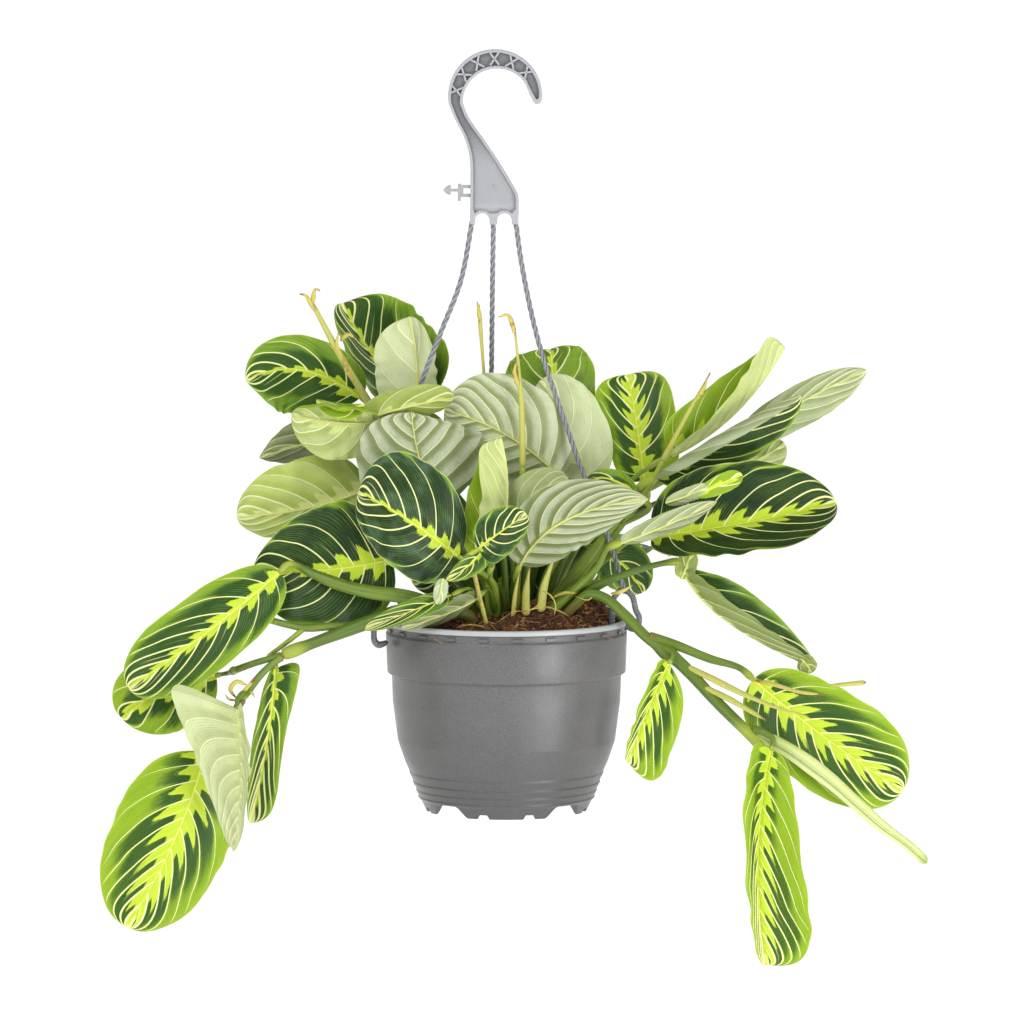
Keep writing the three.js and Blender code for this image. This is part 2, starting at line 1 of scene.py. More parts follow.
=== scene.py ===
"""Potted prayer plant (Maranta leuconeura, lime-feathered form) in a hanging pot: the looks.

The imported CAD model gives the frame. Lengths in the tables below are millimetres from the pot's
axis (X, Y) and from the plane of its feet (Z); `place` turns them into the frame's metres.
"""

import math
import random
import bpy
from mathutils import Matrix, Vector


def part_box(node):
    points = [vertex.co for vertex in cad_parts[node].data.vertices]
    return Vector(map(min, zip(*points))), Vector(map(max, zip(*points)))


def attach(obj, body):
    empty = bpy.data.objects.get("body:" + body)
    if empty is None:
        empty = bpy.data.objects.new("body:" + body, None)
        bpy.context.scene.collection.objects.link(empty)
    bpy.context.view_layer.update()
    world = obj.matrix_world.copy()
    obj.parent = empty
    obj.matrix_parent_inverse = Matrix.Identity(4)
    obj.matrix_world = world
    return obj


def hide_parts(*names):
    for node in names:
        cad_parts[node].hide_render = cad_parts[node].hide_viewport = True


bl_info = {
    "name": "Potted Prayer Plant",
    "version": (1, 0, 0),
    "blender": (4, 5, 0),
    "location": "View3D > Sidebar > Prayer Plant",
    "description": "Builds a potted prayer plant with its pot, hanger, stems and leaves",
    "category": "Object",
}

from typing import NamedTuple

import bmesh
import bpy
from mathutils import Matrix, Vector

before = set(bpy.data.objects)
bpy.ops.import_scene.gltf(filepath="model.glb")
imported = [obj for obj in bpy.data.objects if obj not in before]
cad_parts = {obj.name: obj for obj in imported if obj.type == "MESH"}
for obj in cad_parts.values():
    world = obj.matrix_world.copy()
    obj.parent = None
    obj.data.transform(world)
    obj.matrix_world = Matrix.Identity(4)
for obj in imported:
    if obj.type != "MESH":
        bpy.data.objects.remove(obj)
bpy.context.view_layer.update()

MM = 0.001
POT_LOW, POT_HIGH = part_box("pot")
POT_AXIS = Vector(((POT_LOW.x + POT_HIGH.x) / 2, (POT_LOW.y + POT_HIGH.y) / 2, POT_LOW.z))
RIM = (POT_HIGH.x - POT_LOW.x) / 2 / MM


def place(x, y, z):
    """A point given in millimetres from the pot's axis and foot, in the frame's metres."""
    return POT_AXIS + Vector((x, y, z)) * MM


def route(*points):
    """Several such points in the frame's metres."""
    return [place(*p) for p in points]


# ---- Leaves ----
class Leaf(NamedTuple):
    """One blade: its rib from base to tip, its shape, where its stalk starts and its tones from 0 to 1.

    right and left are each half's fold and curl in radians, and wide is each half's share of the half width
    near the base, in the middle and near the tip. sweep leans each half's margin back, full makes the outline
    oblong, point makes its tip pointed, gap is the space between its veins and stalk its stalk's share of the
    usual radius.
    """

    rib: tuple
    half: float
    face: tuple
    right: tuple = (0.08, 0.15)
    left: tuple = (0.08, 0.15)
    wide: tuple = ((1, 1, 1), (1, 1, 1))
    widest: float = 0.47
    full: float = 2.25
    point: float = 0.12
    sweep: tuple = (0, 0)
    ripple: float = 1.0
    gap: float = 14.5
    stalk: float = 1.0
    root: tuple = None
    via: tuple = None
    reach: float = 12.0
    lime: float = 0.5
    dark: float = 0.7
    haze: float = 0.1
    yellow: float = 0.3
    stripe: float = 0.3
    grey: float = 0.2


LEAVES = {
    "left_1": Leaf(
        ((-90, 20, 253), (-126, 11, 271), (-160, 0, 265.5)), 25, (0, -1, 0.3),
        wide=((0.85, 0.85, 1), (1.1, 1.2, 1.05)), full=2.3, point=0.6, sweep=(0, -0.3), gap=12,
        root=(-14, 14), lime=0.4, dark=0.6, haze=0,
    ),
    "left_2": Leaf(
        ((-50, 44, 243), (-80, 38, 274), (-101, 28, 311)), 41, (-0.35, -1, 0), left=(-0.5, 0),
        wide=((1.13, 1.09, 1), (0.6, 0.5, 0.34)), full=3.4, point=0, sweep=(-0.15, 0), gap=13, root=(-8, 18),
        lime=0.4, dark=0.65, haze=0.05,
    ),
    "left_3": Leaf(
        ((-56, -2, 240), (-55, 0, 274), (-60, 2, 304.5)), 23, (0, 1, 0.1), left=(0.85, 0),
        wide=((1.1, 1.15, 1.25), (0.8, 0.75, 0.6)), full=2.6, root=(-14, 6), haze=0.5, yellow=0.15,
        stripe=0.12, grey=0.12,
    ),
    "left_4": Leaf(
        ((-78, -24, 241), (-105, -27, 242), (-131.5, -22, 246)), 23, (0, 1, -0.15), right=(0, 0.2),
        left=(0.1, -2.5), point=0.4, gap=10, root=(-20, -4), via=(-66, -6, 214), lime=0.9, dark=0.2,
        haze=0.05, yellow=0.75, stripe=0.25, grey=0.15,
    ),
    "left_5": Leaf(
        ((-88, -21, 242), (-62, -24, 251), (-32, -20, 256.5)), 13.5, (0.1, 1, 0.3), left=(0.3, 0.5),
        wide=((0.9, 0.9, 0.9), (1.1, 1.1, 1.1)), full=2.6, point=0, gap=13, root=(-14, -12),
        via=(-70, -28, 222), haze=0, yellow=1, stripe=0.1, grey=0.4,
    ),
    "left_6": Leaf(
        ((-86, 6, 234), (-118, 4, 228), (-152, -2, 218)), 19, (0, 0.85, 0.6), full=2.1, point=0.8,
        root=(-22, 6), haze=0, yellow=0.85, stripe=0.5, grey=1.2,
    ),
    "left_7": Leaf(
        ((-84, -6, 200), (-122, -13, 188), (-165.5, -10, 182.5)), 28, (0, 1, 0.1),
        wide=((0.8, 0.7, 0.62), (1.05, 1.1, 1)), full=2.5, gap=12, root=(-24, 0), yellow=1, stripe=0.2,
        grey=0.05,
    ),
    "left_8": Leaf(
        ((-44, -30, 188), (-54, -34, 223), (-58, -26, 248)), 38, (-0.25, 1, -0.1),
        wide=((1, 1, 1), (1.16, 1.16, 1.1)), gap=8.5, root=(-14, -12), haze=0.05, yellow=0.1, stripe=1.25,
        grey=0.58,
    ),
    "left_9": Leaf(
        ((-29, -42, 161), (-60, -57, 185), (-90, -52, 202)), 31, (0, -1, 0.2),
        wide=((1, 1.16, 1.12), (1.08, 0.95, 0.8)), widest=0.52, full=2.4, sweep=(-0.2, 0.2), gap=11,
        root=(-10, -20), lime=0.3, dark=1, haze=0.8,
    ),
    "left_10": Leaf(
        ((-70, -29, 158), (-112, -34, 152), (-155, -28, 152)), 38, (0, -1, 0.1),
        wide=((1.15, 1.05, 0.75), (1, 0.98, 0.9)), point=0.3, root=(-24, -12), lime=0.45, dark=0.9,
    ),
    "top_1": Leaf(
        ((33, -3, 206), (0, -13, 233), (-38, -9, 248)), 35, (0, 1, 0.1), widest=0.52, gap=9, root=(12, -2),
        haze=0.15, yellow=0.25, stripe=1.05, grey=0.35,
    ),
    "top_2": Leaf(
        ((-8, -38, 156), (1, -36, 195), (-3, -32, 233)), 26, (0, -1, 0), right=(2.45, 0.2), left=(0.1, 0.1),
        wide=((0.72, 0.78, 0.82), (0.9, 0.97, 0.5)), full=4.5, point=0, gap=14, root=(-4, -16), lime=1,
        dark=0.05, haze=0.42, yellow=1, stripe=0.1, grey=0,
    ),
    "top_3": Leaf(
        ((4, -24, 164), (13, -28, 192), (38, -27, 207)), 16, (0, 1, 0), gap=12, root=(4, -12), yellow=0.5,
        stripe=0.1, grey=0.1,
    ),
    "top_4": Leaf(
        ((30, 40, 222), (29, 40, 262), (27, 52, 281)), 30, (0, -1, 0.3), wide=((0.9, 0.88, 0.9), (1, 1, 1)),
        ripple=1.6, gap=11, root=(8, 18), dark=0.2, haze=0,
    ),
    "top_5": Leaf(
        ((50, 8, 200), (37, 4, 239), (20, 10, 264)), 27, (0, 1, 0), wide=((1, 1, 1), (0.95, 0.86, 0.85)),
        root=(14, 8), haze=0.35, yellow=0.2, stripe=0.1, grey=0,
    ),
    "front_1": Leaf(
        ((-17, -64, 168), (-3, -68, 179), (12.5, -64, 189)), 16, (-0.2, -1, 0.3),
        wide=((1.25, 0.9, 0.75), (0.9, 0.9, 0.9)), gap=6, root=(-10, -26), lime=0.05, dark=0.8, haze=0.9,
    ),
    "front_2": Leaf(
        ((-14, -62, 167), (-24, -66, 157), (-37, -66, 149)), 7.5, (0, -1, 0.8),
        wide=((0.8, 0.8, 0.8), (1.6, 1.1, 0.9)), point=0.8, gap=8, root=(-16, -24), lime=0.3, dark=0.35,
        haze=0.7,
    ),
    "front_3": Leaf(
        ((8.5, -42, 156), (36, -58, 185), (86, -60, 198)), 25, (0, 1, 0.2),
        wide=((0.6, 0.95, 0.8), (0.75, 0.85, 0.85)), widest=0.38, point=0.6, gap=9.5, root=(6, -22), haze=0,
        stripe=1.15, grey=1.1,
    ),
    "front_4": Leaf(
        ((-33, -58, 139), (-58, -68, 130), (-86, -64, 119)), 8.5, (0, -0.8, 0.9), gap=9, root=(-16, -20),
        lime=0.05, dark=0.45,
    ),
    "front_5": Leaf(
        ((-17, -46, 137), (-36, -56, 128), (-64, -58, 119)), 10.5, (0, 0.7, 0.7), root=(-8, -22), haze=0,
        stripe=0.4, grey=1.1,
    ),
    "right_1": Leaf(
        ((85, 16, 202), (80, 18, 238), (75, 28, 267)), 25, (0, -1, 0.1),
        wide=((1, 1, 1.12), (0.72, 0.85, 1.1)), full=3.3, gap=9, root=(22, 8), lime=0.9, dark=0.6, haze=0,
    ),
    "right_2": Leaf(
        ((79, -20, 197), (64, -18, 206), (49, -10, 204)), 7, (0, -1, 0.7), root=(20, -10), dark=0.5, haze=0,
    ),
    "right_3": Leaf(
        ((101, -4, 219), (141, -3, 246), (171, -4, 286)), 18, (0, -1, 0), right=(2.15, 0), left=(0.1, 0.1),
        wide=((0.6, 1.1, 1.9), (1.2, 1.3, 0.6)), full=4.2, point=0, sweep=(-0.25, 0), root=(24, 4), lime=1,
        dark=0.1, haze=0.45, yellow=1, stripe=0, grey=0,
    ),
    "right_4": Leaf(
        ((145, 6, 229), (183, 2, 253), (221, -2, 272)), 14, (0, 1, -0.1),
        wide=((0.85, 0.8, 0.8), (1, 1.05, 1)), point=0.5, stalk=1.4, root=(26, 12), yellow=0.25, stripe=0.4,
        grey=0.55,
    ),
    "right_5": Leaf(
        ((92, -14, 207), (136, -18, 234), (180, -16, 258)), 21, (0.2, -1, -0.35), left=(0.3, 2.2), stalk=1.8,
        root=(26, -4), via=(70, -17, 184), dark=0.8, haze=0, yellow=0.2, stripe=0.45, grey=0.65,
    ),
    "right_6": Leaf(
        ((136, 16, 207), (156, 14, 216), (171, 14, 226)), 12, (0, 1, 0), root=(28, 14), yellow=0.8,
        stripe=0.5, grey=0.3,
    ),
    "right_7": Leaf(
        ((89, -30, 172), (146, -40, 181.5), (201, -38, 194)), 37, (0, -1, 0.15), right=(0.9, 0.2),
        wide=((0.85, 0.98, 1.2), (1, 1.03, 0.85)), full=2.4, point=0.25, stalk=1.5, root=(24, -10),
        via=(62, -13, 158), lime=0.7, dark=1, haze=0,
    ),
    "right_8": Leaf(
        ((70, -46, 170), (100, -56, 183), (128, -56, 196)), 8.5, (-0.3, 0.9, 0.5), point=0.7, stalk=1.5,
        root=(22, -28), via=(54, -34, 152), haze=0.05, yellow=0.2, stripe=0.4, grey=0.6,
    ),
    "right_9": Leaf(
        ((54, -4, 162), (71, 0, 152), (84, 4, 134)), 16, (0, -1, 0.2), root=(26, -2), lime=0.4, dark=0.6,
    ),
    "right_10": Leaf(
        ((108, -36, 152), (134, -34, 121), (188, -26, 91)), 22, (0, -1, 0.15), right=(2.05, 0.1),
        left=(0.1, 0.1), wide=((0.8, 0.95, 0.8), (0.6, 1.05, 0.8)), gap=16, stalk=1.4, root=(28, -16),
        via=(62, -32, 145), reach=5, lime=0.3, dark=0.8, haze=0, yellow=1, stripe=0.12, grey=0.75,
    ),
    "trail_left_1": Leaf(
        ((-138.5, -40, 151), (-185, -50, 113.5), (-231, -44, 80.5)), 26, (0, -1, 0.1),
        wide=((0.8, 0.97, 1.05), (0.85, 0.9, 0.95)), full=2.3, lime=0.55, dark=0.68, haze=0.25,
    ),
    "trail_left_2": Leaf(
        ((-178, -24, 86), (-210, -32, 77), (-236, -28, 60)), 26, (0, -1, 0), lime=0.8, dark=0.5, haze=0,
    ),
    "trail_left_3": Leaf(
        ((-163, -72, 71), (-161, -74, 24), (-166, -68, -17)), 38, (0, 1, 0.1), right=(-1.3, 0),
        wide=((0.3, 0.5, 0.3), (1.2, 0.85, 0.62)), widest=0.25, sweep=(0.6, 0.6), gap=9, haze=0.55,
        yellow=0.5, grey=0.15,
    ),
    "trail_left_4": Leaf(
        ((-184, -50, 42), (-202, -56, -10), (-232, -52, -66)), 40, (0, -1, 0.1), left=(-0.4, -0.2),
        wide=((1, 1, 1), (0.95, 0.93, 1)), sweep=(-0.1, -0.1), gap=13, lime=0.95, dark=0.5, haze=0,
    ),
    "trail_left_5": Leaf(
        ((-141, -46, 93), (-146, -52, 48), (-156, -50, -2)), 14, (0, -1, 0),
        wide=((0.3, 0.65, 0.4), (1.5, 0.75, 1.25)), widest=0.45, full=3.2, point=0, sweep=(0.3, 0.45),
        gap=12, dark=0.55, haze=0,
    ),
    "trail_right_1": Leaf(
        ((151, -38, 85), (197, -35, 47.5), (243, -32, 15.5)), 34, (0, -1, 0.1),
        wide=((0.95, 0.95, 1), (0.75, 0.95, 1.1)), gap=12.5, lime=0.85, dark=0.55, haze=0,
    ),
    "trail_right_2": Leaf(
        ((161, -62, 45), (153.5, -66, -20), (158.5, -62, -88)), 31, (0, -1, 0), right=(0.9, 0),
        left=(0.25, 0.2), wide=((0.88, 0.45, 0.3), (0.5, 0.92, 1.15)), widest=0.5, full=3.6, point=0,
        sweep=(0.3, -0.1), gap=12, lime=0.9, dark=0.4, haze=0,
    ),
    "trail_right_3": Leaf(
        ((99, -53, 97), (86, -56, 68), (74, -54, 36)), 22, (0, -1, 0), right=(0.8, 0),
        wide=((0.6, 0.42, 0.35), (1, 1.05, 1.2)), full=2.8, point=0, sweep=(0.2, -0.6), gap=10, lime=0.9,
        dark=0.45, haze=0,
    ),
    "back_1": Leaf(((-22, 34, 150), (-44, 60, 172), (-60, 92, 172)), 26, (-0.2, -0.2, 1), root=(-8, 22)),
    "back_2": Leaf(((16, 34, 152), (24, 62, 174), (28, 98, 168)), 26, (0, 0.1, 1), root=(6, 22)),
    "back_3": Leaf(((60, 36, 144), (82, 62, 156), (102, 88, 148)), 22, (0.1, 0.1, 1), root=(20, 18)),
    "back_4": Leaf(((-46, 34, 150), (-86, 54, 168), (-126, 62, 158)), 25, (-0.2, 0.5, 1), root=(-14, 18)),
    "back_5": Leaf(((98, 34, 172), (134, 50, 184), (170, 56, 176)), 23, (0.1, 0.6, 1), root=(26, 12)),
    "back_6": Leaf(((14, 44, 172), (17, 62, 206), (18, 86, 228)), 22, (0, -0.7, 0.8), root=(2, 20)),
}

FOLDS = {
    "right_8_tip": Leaf(
        ((115, -54, 199), (130, -57, 206.5), (143.5, -57, 212.5)), 6, (0, -1, 0.2), widest=0.6, full=2.4,
        point=0.3, gap=17, lime=1, dark=0, haze=0,
    ),
    "left_4_curl": Leaf(
        ((-87, -31, 253), (-101, -33, 252), (-116, -30, 256)), 7, (0, -1, 0.3),
        wide=((0.3, 0.3, 0.3), (1, 1.2, 0.8)), gap=14, lime=0.9, dark=0, haze=0,
    ),
    "front_2_tip": Leaf(
        ((-38.5, -66, 150), (-40, -67, 142), (-42, -66, 134)), 4.4, (0, 1, 0), full=2.3, point=0.3, gap=9,
        haze=0, yellow=0, stripe=0.1, grey=0.15,
    ),
    "right_10_lobe": Leaf(
        ((107, -36.5, 147), (110, -38.5, 155), (113, -37, 164)), 6.5, (0, 1, 0), full=2.8, gap=16, haze=0,
        yellow=1, stripe=0.05, grey=0.55,
    ),
    "right_10_tip": Leaf(
        ((180, -29, 97), (184, -31, 93), (187, -29, 88)), 6, (0, 1, 0), full=2.8, gap=9, haze=0, yellow=1,
        stripe=0.1, grey=0.6,
    ),
    "low_1": Leaf(
        ((-2, 22, 136), (-26, 34, 146), (-58, 36, 136)), 21, (0, -1, 0.2), gap=12, lime=0.3, dark=0.95,
        haze=0,
    ),
    "low_2": Leaf(
        ((6, 22, 124), (10, 33, 148), (8, 36, 174)), 21, (0, -1, 0.2), gap=12, lime=0.3, dark=0.95, haze=0,
    ),
    "low_3": Leaf(
        ((22, 22, 126), (38, 30, 150), (58, 32, 168)), 19, (0, -1, 0.2), gap=12, lime=0.3, dark=0.95, haze=0,
    ),
    "right_8_band": Leaf(
        ((97, -52, 195), (111, -55, 200), (124, -56, 206)), 4.8, (0, 1, 0.1), widest=0.5, full=2.3, gap=15,
        stripe=0.2, grey=0.4,
    ),
}


# ---- Node trees ----
def colour(code):
    """A colour such as "#5a3a22" as linear red, green, blue and alpha."""
    channels = [int(code[i : i + 2], 16) / 255 for i in (1, 3, 5)]
    return tuple(c / 12.92 if c <= 0.04045 else ((c + 0.055) / 1.055) ** 2.4 for c in channels) + (1.0,)


def arithmetic(operation, swapped=False):
    """A method that works this operation out with nodes."""

    def work_out(self, other):
        return self.tree.sum(operation, *((other, self) if swapped else (self, other)))

    return work_out


class Wire:
    """A value in a node tree. Arithmetic on it adds the nodes that work the result out."""

    def __init__(self, tree, socket):
        self.tree = tree
        self.socket = socket

    __add__ = __radd__ = arithmetic("ADD")
    __sub__ = arithmetic("SUBTRACT")
    __rsub__ = arithmetic("SUBTRACT", swapped=True)
    __mul__ = __rmul__ = arithmetic("MULTIPLY")
    __truediv__ = arithmetic("DIVIDE")
    __rtruediv__ = arithmetic("DIVIDE", swapped=True)
    __pow__ = arithmetic("POWER")

    @property
    def is_vector(self):
        return self.socket.type in ("VECTOR", "ROTATION")


class Tree:
    """Builds a shader or geometry node tree from expressions."""

    def __init__(self, group):
        self.nodes = group.nodes
        self.links = group.links

    def feed(self, socket, value):
        """Links a wire to a socket, or sets the socket's own value; None leaves it alone."""
        if isinstance(value, Wire):
            self.links.new(value.socket, socket)
        elif value is not None:
            socket.default_value = value

    def node(self, kind, *values, named=None, **settings):
        """Adds a node with these settings, and feeds its inputs the values in order and the named ones."""
        made = self.nodes.new(kind)
        for key, value in settings.items():
            setattr(made, key, value)
        for socket, value in zip([s for s in made.inputs if s.enabled], values):
            self.feed(socket, value)
        for label, value in (named or {}).items():
            self.feed(made.inputs[label], value)
        return made

    def wire(self, made, output=0):
        """One of a node's outputs, by its name or its place."""
        enabled = [s for s in made.outputs if s.enabled]
        return Wire(self, made.outputs[output] if isinstance(output, str) else enabled[output])

    def get(self, kind, *values, output=0, **settings):
        """What a new node gives."""
        return self.wire(self.node(kind, *values, **settings), output)

    def math(self, operation, *values):
        return self.get("ShaderNodeMath", *values, operation=operation)

    def vector(self, operation, *values):
        output = "Value" if operation in ("LENGTH", "DOT_PRODUCT") else "Vector"
        return self.get("ShaderNodeVectorMath", *values, output=output, operation=operation)

    def sum(self, operation, a, b):
        """Arithmetic on two numbers, two vectors or one of each."""
        kinds = [isinstance(x, (tuple, Vector)) or (isinstance(x, Wire) and x.is_vector) for x in (a, b)]
        if not any(kinds):
            return self.math(operation, a, b)
        if operation == "MULTIPLY" and not all(kinds):
            vector, factor = (a, b) if kinds[0] else (b, a)
            return self.get("ShaderNodeVectorMath", vector, factor, operation="SCALE")
        return self.vector(operation, a, b)

    def combine(self, x=0.0, y=0.0, z=0.0):
        return self.get("ShaderNodeCombineXYZ", x, y, z)

    def split(self, vector):
        made = self.node("ShaderNodeSeparateXYZ", vector)
        return [self.wire(made, name) for name in ("X", "Y", "Z")]

    def smooth(self, low, high, value, bottom=0.0, top=1.0):
        """Rises smoothly from bottom at low to top at high; low may be the larger."""
        return self.get("ShaderNodeMapRange", value, low, high, bottom, top, interpolation_type="SMOOTHSTEP")

    def noise(self, vector, scale, detail=2.0, roughness=0.5):
        named = {"Vector": vector, "Scale": scale, "Detail": detail, "Roughness": roughness}
        return self.get("ShaderNodeTexNoise", named=named)

    def blend(self, share, a, b):
        """A colour, from a where share is 0 to b where it is 1."""
        made = self.node("ShaderNodeMix", data_type="RGBA", clamp_factor=True)
        for socket, value in zip((made.inputs[0], made.inputs[6], made.inputs[7]), (share, a, b)):
            self.feed(socket, value if isinstance(value, (float, Wire)) else (*value, 1.0))
        return Wire(self, made.outputs[2])

    def attribute(self, name, output="Fac"):
        return self.get("ShaderNodeAttribute", output=output, attribute_name=name)

    def place(self):
        """Where a point of the piece is."""
        return self.get("ShaderNodeTexCoord", output="Object")

    def spot(self):
        """Where a point of the geometry is."""
        return self.get("GeometryNodeInputPosition")

    def store(self, geometry, name, value, kind="FLOAT", domain="POINT"):
        """The geometry with a value kept on it under this name."""
        named = {"Geometry": geometry, "Name": name, "Value": value}
        return self.get("GeometryNodeStoreNamedAttribute", named=named, data_type=kind, domain=domain)

    def join(self, *parts):
        """Several geometries as one."""
        made = self.node("GeometryNodeJoinGeometry")
        for part in parts:
            self.links.new(part.socket, made.inputs[0])
        return self.wire(made)

    def ring(self, points, radius):
        """A circle, as a section to sweep."""
        return self.get("GeometryNodeCurvePrimitiveCircle", named={"Resolution": points, "Radius": radius})

    def sweep(self, line, section, scale=None):
        """A closed rod: a section swept along a curve."""
        named = {"Curve": line, "Profile Curve": section, "Scale": scale, "Fill Caps": True}
        return self.get("GeometryNodeCurveToMesh", named=named)

    def put(self, points, thing, turn, scale=None):
        """A copy of a thing on each point."""
        named = {"Points": points, "Instance": thing, "Rotation": turn, "Scale": scale}
        return self.get("GeometryNodeInstanceOnPoints", named=named)

    def finished(self, geometry, finish):
        """Ends a tree: instances made real, and their material set."""
        real = self.get("GeometryNodeRealizeInstances", geometry)
        return self.get("GeometryNodeSetMaterial", real, None, finish)


def function(operation):
    """A function that works this operation out with a node."""
    return lambda value, *others: value.tree.math(operation, value, *others)


sine, cosine, fraction = function("SINE"), function("COSINE"), function("FRACT")
sign_of, size_of, larger = function("SIGN"), function("ABSOLUTE"), function("MAXIMUM")


def nearest_line(value):
    """How far a number is from the nearest whole number."""
    return size_of(fraction(value + 0.5) - 0.5)


def through(t, start, middle, end):
    """The value at t on the quadratic through three values, at 0, a half and 1."""
    inner = start * ((1.0 - t) * (1.0 - t * 2.0)) + middle * (t * (1.0 - t) * 4.0)
    return inner + end * (t * (t * 2.0 - 1.0))


def material(name, finish, *values):
    """A Principled material with inputs from finish(tree, *values), its Height as bumps of Relief mm."""
    made = bpy.data.materials.new(name)
    made.use_nodes = True
    tree = Tree(made.node_tree)
    inputs = finish(tree, *values)
    relief = {"Distance": inputs.pop("Relief") * MM, "Height": inputs.pop("Height")}
    inputs["Normal"] = tree.get("ShaderNodeBump", named=relief)
    shader = made.node_tree.nodes["Principled BSDF"]
    for label, value in inputs.items():
        tree.feed(shader.inputs[label], value)
    return made


def geometry_tree(name, labels, build):
    """A Geometry Nodes tree with inputs of these kinds and labels that gives out build(tree, inputs)."""
    group = bpy.data.node_groups.new(name, "GeometryNodeTree")
    group.interface.new_socket("Geometry", in_out="INPUT", socket_type="NodeSocketGeometry")
    for kind, those in labels.items():
        for label in those:
            group.interface.new_socket(label, in_out="INPUT", socket_type="NodeSocket" + kind)
    group.interface.new_socket("Geometry", in_out="OUTPUT", socket_type="NodeSocketGeometry")
    tree = Tree(group)
    source = tree.node("NodeGroupInput")
    inputs = {socket.name: Wire(tree, socket) for socket in source.outputs if socket.name}
    tree.node("NodeGroupOutput", build(tree, inputs))
    return group


def link(name, data):
    """A new object in the scene."""
    made = bpy.data.objects.new(name, data)
    bpy.context.scene.collection.objects.link(made)
    return made


def grow(name, group, source=None, **values):
    """The object whose plain mesh a Geometry Nodes tree makes from source and these inputs."""
    made = link(name, source or bpy.data.meshes.new(name))
    modifier = made.modifiers.new("Shape", "NODES")
    modifier.node_group = group
    sockets = {s.name: s.identifier for s in group.interface.items_tree if s.in_out == "INPUT"}
    for label, value in values.items():
        modifier[sockets[label.replace("_", " ").capitalize()]] = value
    return settle(made)


def settle(made):
    """Turns an object's evaluated shape into its plain mesh and removes its modifiers."""
    bpy.context.view_layer.update()
    depsgraph = bpy.context.evaluated_depsgraph_get()
    evaluated = made.evaluated_get(depsgraph)
    shape = bpy.data.meshes.new_from_object(evaluated, preserve_all_data_layers=True, depsgraph=depsgraph)
    made.modifiers.clear()
    old = made.data
    made.data = shape
    shape.name = made.name
    bpy.data.meshes.remove(old)
    return made


def fit(made, slot, *nodes):
    """Puts a finished piece on the frame, in the place of its CAD nodes where it has any."""
    if nodes:
        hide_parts(*nodes)
    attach(made, "root")


# ---- Leaf pattern, shared by the blade's shape and its colours ----
VEIN_LEAN = 0.7


def vein_count(t, side, veins):
    """Main veins between the base and a point, counted along the rib.

    A vein leaves the rib at 40 degrees or so and bends forward until it runs beside the margin.
    """
    tree = side.tree
    forward = size_of(side) * VEIN_LEAN * tree.smooth(0.7, 1.0, t, 1.0, 0.66)
    return (t * (1.0 - forward)) ** 0.85 * veins + tree.math("LESS_THAN", side, 0.0) * 0.5


class Blade:
    """A blade's own coordinates, as its shape stored them, for its two finishes."""

    def __init__(self, tree):
        self.t, self.side, self.width = tree.split(tree.attribute("blade", "Vector"))
        self.veins, self.length, self.seed = tree.split(tree.attribute("make", "Vector"))
        self.lime, self.dark, self.fade = tree.split(tree.attribute("tone", "Vector"))
        self.yellow, self.stripe, self.grey = tree.split(tree.attribute("reverse", "Vector"))
        self.v = size_of(self.side)
        self.count = vein_count(self.t, self.side, self.veins)
        self.between = fraction(self.count)
        forward = (1.0 - self.v * VEIN_LEAN) / self.length
        outward = self.t * VEIN_LEAN / larger(self.width, 3.0)
        self.per_mm = tree.math("SQRT", forward * forward + outward * outward) * self.veins
        strip = tree.combine(tree.math("FLOOR", self.count), sign_of(self.side), self.seed)
        self.strip = tree.get("ShaderNodeTexWhiteNoise", strip)
        self.comb = tree.noise(tree.combine(self.count * 24.0, self.v * 1.8, self.seed), 1.0, 2.0, 0.6)
        self.ragged = tree.noise(tree.combine(self.count * 9.0, self.v * 5.0, self.seed + 3.0), 1.0, 2.0, 0.7)
        self.cloud = tree.noise(tree.combine(self.t * 3.0, self.side * 2.0, self.seed), 1.5, 3.0)
        thin = tree.smooth(0.24, 0.06, nearest_line(self.count * 8.0 + self.ragged * 0.6))
        self.fine = thin * tree.smooth(1.0, 0.7, self.v) * tree.smooth(0.3, 0.65, self.cloud)

    def veins_and_rib(self, tree):
        """How strongly the main veins and the rib show."""
        half = tree.smooth(0.0, 1.0, self.v, 0.62, 0.34) * self.per_mm
        main = tree.smooth(half, half * 0.45, nearest_line(self.count)) * tree.smooth(0.98, 0.84, self.v)
        rib = tree.smooth(1.0, 0.5, self.v * self.width / tree.smooth(0.0, 1.0, self.t, 0.95, 0.45))
        return main, rib

    def feather(self, tree, softness=0.0):
        """The lime feather's share: a tooth in each strip, long on its base side, cut back on the other."""
        tooth = tree.smooth(0.0, 0.36, self.between, 0.45, 1.0) * tree.smooth(0.66, 0.42, self.between)
        tooth = tooth * (self.strip * 0.5 + 0.7)
        edge = self.lime * 0.1 + 0.025 + tooth * (self.lime * 0.17 + 0.09)
        edge = edge + (self.ragged - 0.5) * (tooth * 0.16 + 0.05)
        edge = edge * tree.smooth(0.0, 0.12, self.t, 1.9, 1.0)
        end = self.lime * 0.55 + 0.42
        edge = edge * tree.smooth(0.12, end, self.t, 1.4 - self.lime * 0.3, self.lime * 0.95 + 0.02)
        return tree.smooth(edge + 0.02 + softness, edge - 0.015 - softness, self.v)


